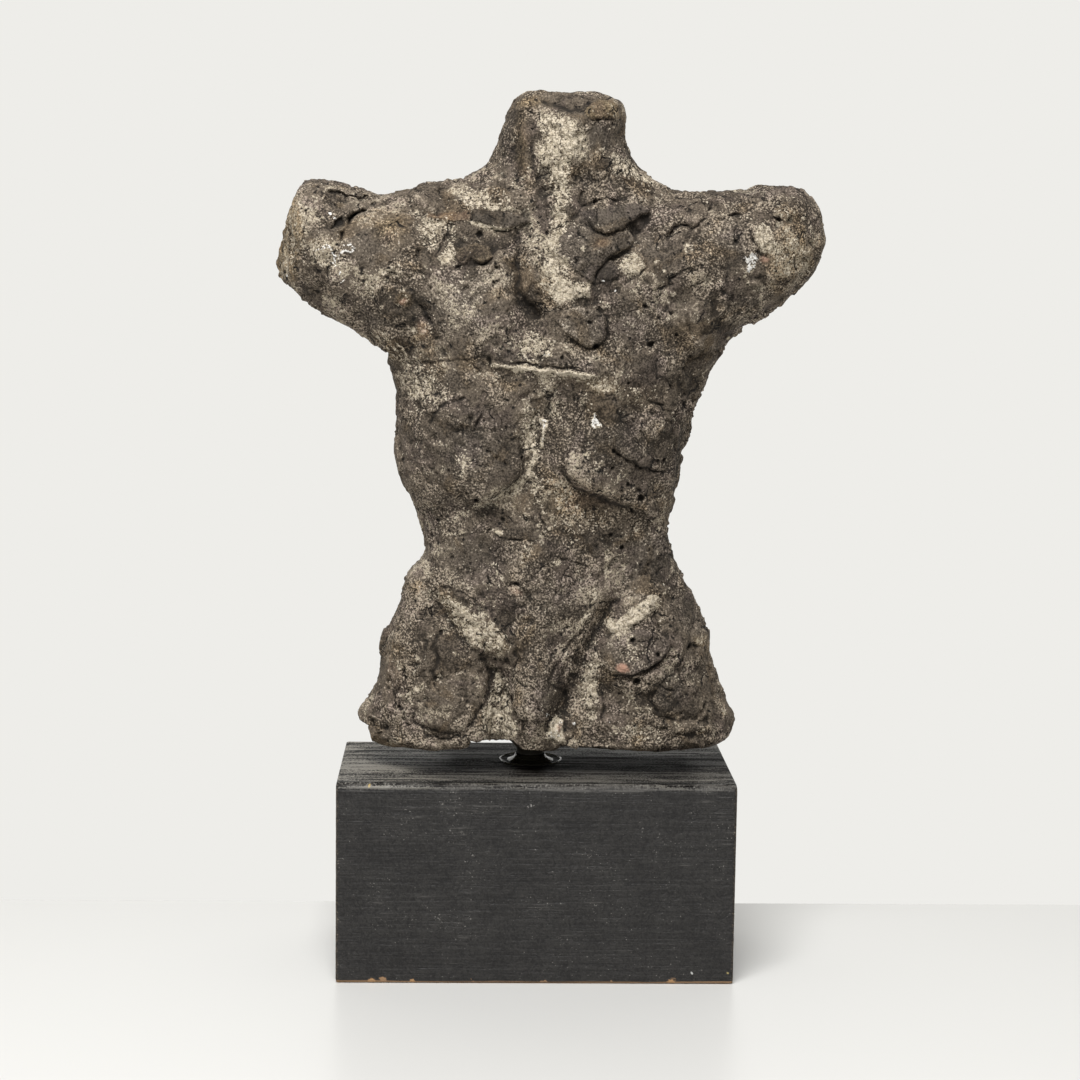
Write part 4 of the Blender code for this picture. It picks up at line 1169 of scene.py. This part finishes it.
def clay_finish():
    """Dark sandy clay with lime in its hollows, and painted shade in its cracks, creases and pin-holes."""
    finish, tree, shader, place = new_finish("torso_clay")
    torn = shaken(tree, place, 900.0, 1.6)
    broad = noise(tree, place, 42.0, 3.0, 0.6, 0.3)
    dab = noise(tree, place, 140.0, 4.0, 0.62, 0.5)
    crumb = noise(tree, place, 450.0, 3.0, 0.65, 0.6)
    sand = noise(tree, place, 1500.0, 1.0, 0.7)
    lumps = maths(tree, "SUBTRACT", 0.55, cells(tree, torn, 640.0))
    paints = {name: painted(tree, name) for name in (*PAINTS, "hollow")}
    # the clay itself: each dab has its own tone, and is gritty or thumbed smooth
    bent = shaken(tree, shaken(tree, place, 110.0, 9.0), 420.0, 3.0)
    dabs = node(tree, "ShaderNodeTexVoronoi", None, Vector=bent, Scale=88.0).outputs["Color"]
    own_tone, own_grit, _ = node(tree, "ShaderNodeSeparateXYZ", None, Vector=dabs).outputs
    seams = cells(tree, bent, 88.0, "DISTANCE_TO_EDGE")
    smear = noise(tree, place, 95.0, 3.0, 0.6, 0.6)
    rubbed = ramp(tree, weighed(tree, (smear, 0.5, 1.0), (own_grit, 0.5, 0.28)), -0.05, 0.05)
    smooth = most(tree, paints["calm"], times(tree, rubbed, 0.9))
    sandiness = weighed(tree, (smooth, 0.0, -0.8), (1.0, 0.0, 1.2))
    specks = weighed(tree, (crumb, 0.5, 1.2), (sand, 0.5, 4.2))
    # painted shade: the tone is darker with the dark paint, partly the clay's own tone and partly shade in
    # grooves and cracks, and darker in hollows
    tone = weighed(tree, (broad, 0.5, 1.0), (dab, 0.5, 1.3), (own_tone, 0.5, 0.36),
                   (times(tree, specks, sandiness), 0.0, 1.0), (smooth, 0.0, -0.16),
                   (paints["dark"], 0.0, -0.5), (paints["lime"], 0.0, 0.16), (paints["hollow"], 0.0, -0.22))
    body = mix(tree, ramp(tree, tone, -0.62, 0.09), (0.028, 0.022, 0.016), (0.112, 0.089, 0.066))
    body = mix(tree, ramp(tree, tone, 0.07, 0.68), body, (0.345, 0.285, 0.218))
    drift = noise(tree, place, 70.0, 3.0, 0.6, 0.6)
    body = tinted(tree, ramp(tree, drift, 0.50, 0.64), body, (0.98, 0.96, 1.02))
    body = tinted(tree, ramp(tree, drift, 0.46, 0.34), body, (1.05, 0.99, 0.89))
    body = tinted(tree, paints["calm"], body, (0.90, 0.93, 0.98))
    body = tinted(tree, paints["warm"], body, (1.22, 1.10, 0.84))
    # lime, thicker where it was painted and in the hollows
    crust = weighed(tree, (paints["lime"], 0.0, 1.0), (paints["hollow"], 0.0, 0.12), (broad, 0.5, 1.1),
                    (dab, 0.5, 2.7), (crumb, 0.5, 1.3), (sand, 0.5, 2.4), (lumps, 0.0, 1.0),
                    (paints["dark"], 0.0, -0.8), (smooth, 0.0, -0.2))
    cover = ramp(tree, crust, 0.55, 0.72)
    thick = ramp(tree, weighed(tree, (crust, 0.0, 0.5), (paints["lime"], 0.0, 0.25), (sand, 0.5, 2.0),
                               (lumps, 0.0, 1.4)), 0.50, 1.15)
    body = mix(tree, cover, body, mix(tree, thick, (0.232, 0.192, 0.141), (0.575, 0.503, 0.396)))
    # thin wandering traces and loose crumbs of lime, in clusters
    cluster = ramp(tree, weighed(tree, (paints["lime"], 0.0, 0.8), (broad, 0.5, 2.2), (dab, 0.5, 2.6),
                                 (paints["dark"], 0.0, -1.0), (paints["calm"], 0.0, -0.2)), 0.16, 0.52)
    loose = ramp(tree, cells(tree, torn, 640.0), 0.26, 0.16)
    strewn = most(tree, traces(tree, place, 620.0, 0.045), times(tree, loose, 0.9))
    body = mix(tree, times(tree, strewn, cluster), body, (0.420, 0.360, 0.265))
    whiteness = ramp(tree, weighed(tree, (paints["white"], 0.0, 1.2), (sand, 0.5, 1.6), (crumb, 0.5, 1.4)),
                     0.58, 0.74)
    body = mix(tree, whiteness, body, (0.700, 0.680, 0.640))
    body = mix(tree, times(tree, paints["pink"], 0.8), body, (0.430, 0.250, 0.180))
    # painted shade: pin-holes, fissures between dabs, creases and the darkest painted marks
    # go towards black, as shade falls in them
    holes = times(tree, ramp(tree, cells(tree, torn, 330.0), 0.22, 0.12),
                  ramp(tree, noise(tree, place, 85.0, 2.0), 0.46, 0.60))
    fissures = times(tree, ramp(tree, seams, 0.030, 0.008),
                     ramp(tree, noise(tree, place, 110.0, 3.0), 0.56, 0.63))
    torn_open = most(tree, holes, fissures)
    deep = ramp(tree, weighed(tree, (paints["dark"], 0.0, 1.0), (sand, 0.5, 1.2)), 0.55, 0.95)
    crease_shade = ramp(tree, weighed(tree, (paints["hollow"], 0.0, 1.0), (dab, 0.5, 1.0),
                                 (paints["lime"], 0.0, -0.5)), 0.20, 0.85)
    painted_shade = most(tree, times(tree, deep, 0.85), times(tree, crease_shade, 0.7))
    body = mix(tree, most(tree, painted_shade, torn_open), body, (0.012, 0.010, 0.008))
    tree.links.new(body, shader.inputs["Base Color"])
    plain(shader, Roughness=0.9, Specular_IOR_Level=0.25)
    grit = weighed(tree, (crumb, 0.0, 0.45), (sand, 0.0, 0.38))
    height = weighed(tree, (times(tree, grit, sandiness), 0.0, 1.0),
                     (times(tree, lumps, cover), 0.0, 0.7), (ramp(tree, seams, 0.0, 0.12), 0.0, 0.32),
                     (own_tone, 0.0, 0.35), (torn_open, 0.0, -0.9))
    tree.links.new(bump(tree, height, 1.0), shader.inputs["Normal"])
    return finish


# %% [markdown]
# ## Crumbs of lime
#
# Lime breaks into crumbs where it is thick. The crumbs repeat, so Geometry Nodes
# scatter them: points are dropped on the faces, thickly where the lime was painted,
# and each carries a small rough ball, turned and scaled at random. They are joined to
# the clay as real mesh. Placing them by hand would take hundreds of copies.

# %% Geometry Nodes helpers
def new_tree(name, *inputs):
    """A Geometry Nodes tree with a geometry input and output, and named number inputs."""
    tree = bpy.data.node_groups.new(name, "GeometryNodeTree")
    tree.interface.new_socket("Geometry", in_out="INPUT", socket_type="NodeSocketGeometry")
    sockets = {}
    for label, kind, value in inputs:
        made = tree.interface.new_socket(label, in_out="INPUT", socket_type="NodeSocket" + kind)
        made.default_value = value
        sockets[label] = made.identifier
    tree.interface.new_socket("Geometry", in_out="OUTPUT", socket_type="NodeSocketGeometry")
    return tree, tree.nodes.new("NodeGroupInput"), tree.nodes.new("NodeGroupOutput"), sockets


def grown(name, source, tree, values):
    """Run a tree on a mesh and return the plain mesh it makes."""
    holder = placed(name, source)
    modifier = holder.modifiers.new(name, "NODES")
    modifier.node_group = tree
    for identifier, value in values.items():
        modifier[identifier] = value
    return plain_mesh(holder, name)


# %% Grow the crumbs
CRUMB_COUNT = 1.2       # crumbs to a square millimetre of solid lime
CRUMB_SIZE = 0.42       # radius of the largest, in millimetres
CRUMB_SEED = 3
CRUMB_LIME = 1.25       # lime painted on a crumb


def crumb_tree(finish):
    """Scatter small rough balls where lime is painted."""
    tree, start, end, sockets = new_tree("lime_crumbs", ("Crumbs per mm2", "Float", 1.0),
                                         ("Crumb size", "Float", 0.0004), ("Seed", "Int", CRUMB_SEED))
    lime = node(tree, "GeometryNodeInputNamedAttribute", {"data_type": "FLOAT"}, Name="lime")
    thick = ramp(tree, lime.outputs["Attribute"], 0.7, 1.2)
    density = times(tree, times(tree, thick, start.outputs["Crumbs per mm2"]), 1.0 / MM**2)
    scatter = node(tree, "GeometryNodeDistributePointsOnFaces", None, Mesh=start.outputs["Geometry"],
                   Density=density, Seed=start.outputs["Seed"])
    ball = node(tree, "GeometryNodeMeshIcoSphere", None, Radius=start.outputs["Crumb size"], Subdivisions=1)
    spin = node(tree, "FunctionNodeRandomValue", {"data_type": "FLOAT_VECTOR"})
    spin.inputs["Max"].default_value = (math.tau, math.tau, math.tau)
    size = node(tree, "FunctionNodeRandomValue", {"data_type": "FLOAT_VECTOR"})
    size.inputs["Min"].default_value = (0.35, 0.35, 0.3)
    size.inputs["Max"].default_value = (1.0, 1.0, 0.7)
    crumbs = node(tree, "GeometryNodeInstanceOnPoints", None, Points=scatter.outputs["Points"],
                  Instance=ball.outputs["Mesh"], Rotation=spin.outputs["Value"], Scale=size.outputs["Value"])
    solid = node(tree, "GeometryNodeRealizeInstances", None, Geometry=crumbs.outputs["Instances"])
    pale = node(tree, "GeometryNodeStoreNamedAttribute", {"data_type": "FLOAT", "domain": "POINT"},
                Geometry=solid.outputs["Geometry"], Name="lime", Value=CRUMB_LIME)
    both = node(tree, "GeometryNodeJoinGeometry")
    tree.links.new(pale.outputs["Geometry"], both.inputs["Geometry"])
    tree.links.new(start.outputs["Geometry"], both.inputs["Geometry"])
    coat = node(tree, "GeometryNodeSetMaterial", None, Geometry=both.outputs["Geometry"], Material=finish)
    tree.links.new(coat.outputs["Geometry"], end.inputs["Geometry"])
    return tree, sockets


torso_mesh.materials.clear()
torso_finish = clay_finish()
crumbs, sockets = crumb_tree(torso_finish)
values = {
    sockets["Crumbs per mm2"]: CRUMB_COUNT,
    sockets["Crumb size"]: CRUMB_SIZE * MM,
    sockets["Seed"]: CRUMB_SEED,
}
torso = placed("torso_clay", grown("torso_clay", torso_mesh, crumbs, values))
write_points(torso.data, np.clip(read_points(torso.data), torso_box[0], torso_box[1]))
torso.data.shade_smooth()
print("torso with crumbs:", triangle_count(torso.data), "triangles")
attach(torso, "root")
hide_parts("torso")

# %% [markdown]
# ## Plinth
#
# The plinth is a block of planed softwood under thin black paint. Its shape follows a
# rule, so Geometry Nodes build it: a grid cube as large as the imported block, its edges
# eased by pulling each point back on to an arc, then sunk a little by noise stretched
# along the grain, so that nothing stands out beyond the block. A bevel would round the
# edges too, but would leave no points to carry the grain.

# %% Grow the plinth
LONG_EDGE = 2.6         # radius of the two top edges along the grain, in millimetres
SAWN_EDGE = 0.8         # radius of the other edges
GRAIN_DEPTH = 0.25      # how deep the grain is sunk, in millimetres
GRID_POINTS = 62        # points of the grid across a sawn end; there are twice as many along it


def vector(tree, operation, first, second=(0.0, 0.0, 0.0)):
    """One vector sum; the answer can be a vector or a number."""
    made = node(tree, "ShaderNodeVectorMath", {"operation": operation}, i0=first, i1=second)
    return made.outputs["Value" if operation in ("LENGTH", "DISTANCE", "DOT_PRODUCT") else "Vector"]


def eased(tree, place, inner_low, inner_high):
    """Pull points outside an inner box back, so that square corners become arcs."""
    held = vector(tree, "MINIMUM", vector(tree, "MAXIMUM", place, inner_low), inner_high)
    out = vector(tree, "SUBTRACT", place, held)
    parts = node(tree, "ShaderNodeSeparateXYZ", None, Vector=vector(tree, "ABSOLUTE", out)).outputs
    widest = most(tree, most(tree, parts[0], parts[1]), parts[2])
    unit = vector(tree, "NORMALIZE", out)
    scaled = node(tree, "ShaderNodeVectorMath", {"operation": "SCALE"}, i0=unit, Scale=widest)
    return vector(tree, "ADD", held, scaled.outputs["Vector"])


def plinth_tree(finish):
    """An eased grid cube with grain sunk into it."""
    tree, start, end, sockets = new_tree("grain_block", ("Size", "Vector", (0.137, 0.07, 0.07)),
                                         ("Middle", "Vector", (0.0, 0.0, 0.035)),
                                         ("Grain depth", "Float", 0.0002), ("Cell", "Int", 60))
    size = start.outputs["Size"]
    half = vector(tree, "MULTIPLY", size, (0.5, 0.5, 0.5))
    count = start.outputs["Cell"]
    cube = node(tree, "GeometryNodeMeshCube", None, Size=size, Vertices_X=times(tree, count, 2.0),
                Vertices_Y=count, Vertices_Z=count)
    place = node(tree, "GeometryNodeInputPosition").outputs["Position"]
    inner = vector(tree, "SUBTRACT", half, (SAWN_EDGE * MM,) * 3)
    rounded = eased(tree, place, vector(tree, "MULTIPLY", inner, (-1.0, -1.0, -1.0)), inner)
    # the long top edges: only depth and height count, so the inner box is endless along X
    wide = vector(tree, "SUBTRACT", half, (-1.0, LONG_EDGE * MM, LONG_EDGE * MM))
    low = vector(tree, "MULTIPLY", wide, (-1.0, -1.0, -9.0))
    rounded = eased(tree, rounded, low, wide)
    stretched = vector(tree, "MULTIPLY", rounded, (0.05, 1.0, 1.0))
    lines = noise(tree, stretched, 420.0, 3.0, 0.6)
    waves = noise(tree, rounded, 25.0, 2.0, 0.5)
    sunk = weighed(tree, (lines, 1.0, 0.7), (waves, 1.0, 0.3))
    depth = times(tree, sunk, start.outputs["Grain depth"])
    outward = node(tree, "GeometryNodeInputNormal").outputs["Normal"]
    push = node(tree, "ShaderNodeVectorMath", {"operation": "SCALE"}, i0=outward, Scale=depth)
    moved = vector(tree, "ADD", rounded, push.outputs["Vector"])
    shaped = node(tree, "GeometryNodeSetPosition", None, Geometry=cube.outputs["Mesh"],
                  Position=vector(tree, "ADD", moved, start.outputs["Middle"]))
    solid = node(tree, "GeometryNodeRealizeInstances", None, Geometry=shaped.outputs["Geometry"])
    coat = node(tree, "GeometryNodeSetMaterial", None, Geometry=solid.outputs["Geometry"], Material=finish)
    tree.links.new(coat.outputs["Geometry"], end.inputs["Geometry"])
    return tree, sockets


# %% Painted wood finish
def stretched_noise(tree, place, squeeze, scale, detail=4.0):
    """Noise drawn out along X, as wood grain is."""
    along = vector(tree, "MULTIPLY", place, (squeeze, 1.0, 1.0))
    return noise(tree, along, scale, detail, 0.62)


IN_MM = 1.0 / MM        # turns a place in metres into millimetres
NICK = (0.45, 0.26, 0.12)
SCRATCH = (0.16, 0.15, 0.14)
# drops and nicks on the front face: across, up, radius and colour
PAINT_FLECKS = ((-57.0, 69.0, 0.6, (0.40, 0.29, 0.11)), (54.0, 4.0, 0.5, (0.50, 0.50, 0.48)),
                (66.5, 4.0, 0.5, (0.35, 0.28, 0.12)), (-56.0, 0.5, 1.6, NICK), (-42.0, 0.5, 1.2, NICK),
                (47.0, 0.5, 1.6, NICK), (-3.0, 62.0, 0.4, SCRATCH), (-2.0, 62.5, 0.45, (0.20, 0.19, 0.18)),
                (-1.0, 62.5, 0.4, SCRATCH))


def wood_finish():
    """Thin black paint over planed wood, worn at its edges, its grain running along X, with painted light and
    shadow on its top.
    """
    finish, tree, shader, place = new_finish("painted_wood")
    across, depth, upright = node(tree, "ShaderNodeSeparateXYZ", None, Vector=place).outputs
    fine = stretched_noise(tree, place, 0.045, 1500.0)
    lines = stretched_noise(tree, place, 0.030, 520.0)
    wide = stretched_noise(tree, place, 0.080, 130.0, 3.0)
    dust = noise(tree, place, 1500.0, 2.0)
    patches = noise(tree, place, 60.0, 3.0, 0.6)
    top = ramp(tree, upright, 0.0672, 0.0695)
    crazed = noise(tree, place, 420.0, 3.0, 0.6, 1.6)
    coat = weighed(tree, (fine, 0.5, 0.8), (lines, 0.5, 0.5), (crazed, 0.5, 1.4), (dust, 0.5, 1.2),
                   (patches, 0.5, 0.9))
    front_paint = mix(tree, ramp(tree, coat, -0.5, 0.5), (0.010, 0.009, 0.009), (0.032, 0.030, 0.028))
    # on top the grain was raised by wear: pale ridges, dull dark furrows
    ridges = stretched_noise(tree, place, 0.080, 480.0, 4.0)
    raised = ramp(tree, weighed(tree, (ridges, 0.5, 1.0), (wide, 0.5, 0.3), (dust, 0.5, 0.6)), -0.07, 0.09)
    # painted light and wear: the pale grain shows most at the left end, from wear and a painted reflection of
    # the white backdrop, a little at the right end, and as painted light along the front edge and behind the
    # figure
    left_end = ramp(tree, across, -0.026, -0.046)
    right_end = ramp(tree, across, 0.052, 0.060)
    near_edge = ramp(tree, depth, -0.016, -0.030)
    # painted shadow: darkest in a band under the figure, where the torso shades the top
    under = times(tree, ramp(tree, depth, -0.016, -0.010), ramp(tree, depth, 0.014, 0.008))
    lit_behind_figure = times(tree, ramp(tree, depth, 0.008, 0.018), ramp(tree, across, 0.0, 0.020))
    painted_light_and_wear = weighed(tree, (left_end, 0.0, 0.65), (right_end, 0.0, 0.12), (near_edge, 0.0, 0.25),
                   (lit_behind_figure, 0.0, 0.15), (under, 0.0, -0.11), (1.0, 0.0, 0.15))
    top_paint = mix(tree, times(tree, raised, painted_light_and_wear), (0.006, 0.005, 0.005), (0.250, 0.230, 0.190))
    # dust along the near edge, and the black line where the paint cracked behind it
    drifts = weighed(tree, (dust, 0.5, 1.0), (fine, 0.5, 0.5), (patches, 0.5, 0.6))
    dusty = times(tree, near_edge, ramp(tree, drifts, -0.02, 0.12))
    top_paint = mix(tree, times(tree, dusty, 0.5), top_paint, (0.130, 0.122, 0.108))
    seam = maths(tree, "ABSOLUTE", weighed(tree, (depth, -0.0321, IN_MM), (lines, 0.5, 0.8)))
    top_paint = mix(tree, ramp(tree, seam, 1.1, 0.4), top_paint, (0.004, 0.004, 0.004))
    body = mix(tree, top, front_paint, top_paint)
    # pale scratches and specks
    scratched = ramp(tree, weighed(tree, (fine, 0.5, 1.0), (patches, 0.5, 0.6)), 0.18, 0.24)
    body = mix(tree, times(tree, scratched, 0.22), body, (0.190, 0.180, 0.165))
    specks = ramp(tree, weighed(tree, (dust, 0.5, 1.0), (patches, 0.5, 0.4)), 0.225, 0.255)
    body = mix(tree, times(tree, specks, 0.6), body, (0.300, 0.285, 0.260))
    # wear along the eased top edge in front
    edge = times(tree, ramp(tree, upright, 0.0655, 0.0685), ramp(tree, depth, -0.0305, -0.0335))
    worn = ramp(tree, weighed(tree, (edge, 0.0, 0.9), (fine, 0.5, 2.0), (patches, 0.5, 1.6)), 0.60, 1.10)
    body = mix(tree, times(tree, worn, 0.45), body, (0.120, 0.113, 0.103))
    # a few drops and nicks
    for x, z, radius, colour in PAINT_FLECKS:
        middle = (x * MM, plinth_box[0][1] * MM, z * MM)
        away = vector(tree, "MULTIPLY", vector(tree, "SUBTRACT", place, middle), (1.0, 0.2, 1.0))
        there = ramp(tree, weighed(tree, (vector(tree, "LENGTH", away), 0.0, IN_MM), (dust, 0.5, 1.5)),
                     radius, 0.6 * radius)
        body = mix(tree, there, body, colour)
    # bare wood in a thin line along the foot and down the front corners
    foot = ramp(tree, weighed(tree, (upright, 0.0, IN_MM), (lines, 0.5, 3.0)), 1.15, 0.55)
    chips = ramp(tree, weighed(tree, (upright, 0.0, 700.0), (noise(tree, place, 140.0, 3.0), 0.5, 18.0)),
                 -1.6, -2.2)
    bare = most(tree, foot, chips)
    body = mix(tree, times(tree, bare, 0.75), body, (0.420, 0.250, 0.130))
    aside, away = (maths(tree, "ABSOLUTE", way) for way in (across, depth))
    end = ramp(tree, weighed(tree, (aside, 0.0, IN_MM), (dust, 0.5, 3.0)), 67.6, 68.5)
    face = ramp(tree, weighed(tree, (away, 0.0, IN_MM), (dust, 0.5, 3.0)), 33.9, 34.8)
    corner = times(tree, end, face)
    body = mix(tree, times(tree, corner, 0.35), body, (0.230, 0.170, 0.110))
    tree.links.new(body, shader.inputs["Base Color"])
    tree.links.new(mix_value(tree, top, 0.50, 0.45), shader.inputs["Roughness"])
    gloss = times(tree, mix_value(tree, raised, 0.05, 0.65), painted_light_and_wear)
    tree.links.new(mix_value(tree, top, 0.35, gloss), shader.inputs["Specular IOR Level"])
    relief = bump(tree, lines, 0.4)
    relief = bump(tree, fine, 0.3, relief)
    relief = bump(tree, crazed, 0.35, relief)
    tree.links.new(relief, shader.inputs["Normal"])
    return finish


block, sockets = plinth_tree(wood_finish())
values = {
    sockets["Size"]: tuple((plinth_box[1] - plinth_box[0]) * MM),
    sockets["Middle"]: tuple((plinth_box[1] + plinth_box[0]) * MM / 2.0),
    sockets["Grain depth"]: GRAIN_DEPTH * MM,
    sockets["Cell"]: GRID_POINTS,
}
seed_mesh = bpy.data.meshes.new("plinth_seed")
plinth = placed("plinth_block", grown("plinth_block", seed_mesh, block, values))
plinth.data.shade_smooth()
print("plinth:", triangle_count(plinth.data), "triangles")
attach(plinth, "root")
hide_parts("plinth")

# %% Post and glue finishes
def dark_plastic_finish():
    """The olive-black post."""
    finish, tree, shader, place = new_finish("post_plastic")
    streaks = noise(tree, place, 400.0, 3.0)
    tree.links.new(mix(tree, streaks, (0.018, 0.017, 0.012), (0.060, 0.054, 0.036)),
                   shader.inputs["Base Color"])
    plain(shader, Roughness=0.35)
    tree.links.new(bump(tree, streaks, 0.1), shader.inputs["Normal"])
    return finish


def glue_finish():
    """Hardened clear glue."""
    finish, tree, shader, place = new_finish("clear_glue")
    ripples = noise(tree, place, 300.0, 2.0)
    plain(shader, Roughness=0.05, Base_Color=(0.30, 0.28, 0.20, 1.0), Transmission_Weight=0.88, IOR=1.47)
    tree.links.new(bump(tree, ripples, 0.3), shader.inputs["Normal"])
    return finish


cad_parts["support_post"].material_slots[0].material = dark_plastic_finish()

# %% [markdown]
# ## Glue foot
#
# The clear glue crept up the post and set in a thin flared collar. Its section is a
# few points, high beside the post and feathering out on the wood, with a thin bead
# where the pool stopped. Both are turned through a full circle, a little wider in some
# directions than others. A Screw modifier would turn them too, but always true round.

# %% Glue foot
GLUE_INSIDE = 5.15      # radius of the collar's hole, in millimetres
# sections of the collar and the bead: radius in millimetres, and share of the collar's height
COLLAR_SECTION = ((GLUE_INSIDE, 0.0), (GLUE_INSIDE, 0.66), (5.4, 0.54), (5.8, 0.38), (6.4, 0.24),
                  (7.2, 0.15), (8.1, 0.09), (8.8, 0.0))
BEAD_SECTION = ((10.7, 0.0), (10.8, 0.11), (11.05, 0.15), (11.3, 0.13), (11.45, 0.08), (11.5, 0.0))
GLUE_TURNS = 96         # steps in the full turn
GLUE_SUNK = 0.0003      # how far the collar's foot is let into the paint, in metres


def turned_sections(name, sections, middle, base, tall, turns):
    """Turn closed sections round an upright line: radius, and share of the height."""
    points = []
    faces = []
    for section in sections:
        first = len(points)
        count = len(section)
        for turn in range(turns):
            angle = math.tau * turn / turns
            swell = 0.95 + 0.03 * math.sin(3.0 * angle + 1.0) + 0.02 * math.sin(7.0 * angle)
            for radius, share in section:
                reach = (GLUE_INSIDE + (radius - GLUE_INSIDE) * swell) * MM
                points.append((middle[0] + reach * math.cos(angle), middle[1] + reach * math.sin(angle),
                               base + share * tall))
        for turn in range(turns):
            here = first + turn * count
            there = first + (turn + 1) % turns * count
            for i in range(count):
                after = (i + 1) % count
                faces.append((here + i, there + i, there + after, here + after))
    mesh = bpy.data.meshes.new(name)
    mesh.from_pydata(points, [], faces)
    bm = bmesh.new()
    bm.from_mesh(mesh)
    bmesh.ops.recalc_face_normals(bm, faces=bm.faces)
    bm.to_mesh(mesh)
    bm.free()
    return mesh


glue_low, glue_high = (np.array(corner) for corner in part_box("glue_fillet"))
glue_middle = (glue_low + glue_high) / 2.0
glue_base = plinth_box[1, 2] * MM - GLUE_SUNK
glue_mesh = turned_sections("glue_foot", (COLLAR_SECTION, BEAD_SECTION), glue_middle, glue_base,
                            glue_high[2] - glue_base, GLUE_TURNS)
glue_mesh.materials.append(glue_finish())
glue_mesh.shade_smooth()
glue_foot = placed("glue_foot", glue_mesh)
print("glue foot:", triangle_count(glue_mesh), "triangles")
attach(glue_foot, "root")
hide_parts("glue_fillet")

# %% [markdown]
# ## Table, backdrop and light
#
# The work stands near the back edge of a pale, slightly glossy table in front of plain
# white. A large soft light above and in front, a little to the left, gives the short
# soft shadow under the torso; the white surroundings fill the rest.

# %% Stage
TABLE_BACK = 0.066      # where the table ends behind the work, in metres
BACKDROP_TONE = (0.855, 0.847, 0.815)


def stage_sheet(name, corners, finish):
    """A flat sheet through its corners."""
    mesh = bpy.data.meshes.new(name)
    mesh.from_pydata(corners, [], [tuple(range(len(corners)))])
    mesh.materials.append(finish)
    sheet = placed(name, mesh)


def table_finish():
    """Pale lacquer."""
    finish, _, shader, _ = new_finish("table_lacquer")
    plain(shader, Base_Color=(0.685, 0.68, 0.66, 1.0), Roughness=0.32, Specular_IOR_Level=0.35)
    return finish


def backdrop_finish():
    """Even white, as bright as the surroundings."""
    finish, _, shader, _ = new_finish("backdrop_white")
    plain(shader, Base_Color=(0.0, 0.0, 0.0, 1.0), Roughness=1.0, Specular_IOR_Level=0.0,
          Emission_Color=(*BACKDROP_TONE, 1.0), Emission_Strength=1.0)
    return finish


stage_sheet("table", [(-0.9, -1.2, 0), (0.9, -1.2, 0), (0.9, TABLE_BACK, 0), (-0.9, TABLE_BACK, 0)],
            table_finish())
white = backdrop_finish()
stage_sheet("backdrop_floor", [(-3, -3, -0.012), (3, -3, -0.012), (3, 1.6, -0.012), (-3, 1.6, -0.012)],
            white)
stage_sheet("backdrop_wall", [(-3, 1.6, -0.012), (3, 1.6, -0.012), (3, 1.6, 2.2), (-3, 1.6, 2.2)], white)

# %% Light
FILL = 0.31     # how strongly the white surroundings light the work

world = bpy.data.worlds.new("surroundings")
bpy.context.scene.world = world
world.use_nodes = True
sky = world.node_tree.nodes["Background"]
sky.inputs["Color"].default_value = (*BACKDROP_TONE, 1.0)
seen = world.node_tree.nodes.new("ShaderNodeLightPath").outputs["Is Camera Ray"]
strength = maths(world.node_tree, "MAXIMUM", seen, FILL)
world.node_tree.links.new(strength, sky.inputs["Strength"])


def soft_light(name, place, target, size, power):
    """A large square light aimed at a point."""
    light = bpy.data.lights.new(name, "AREA")
    light.size = size
    light.energy = power
    lamp = placed(name, light)
    lamp.location = place
    lamp.rotation_euler = (Vector(target) - Vector(place)).to_track_quat("-Z", "Y").to_euler()


soft_light("key", (-0.16, -0.62, 1.05), (0.0, 0.0, 0.15), 0.60, 17.5)
bpy.context.scene.view_settings.view_transform = "Standard"

# %% Finish
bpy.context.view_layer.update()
print("finished after", round(time.time() - started, 1), "s")
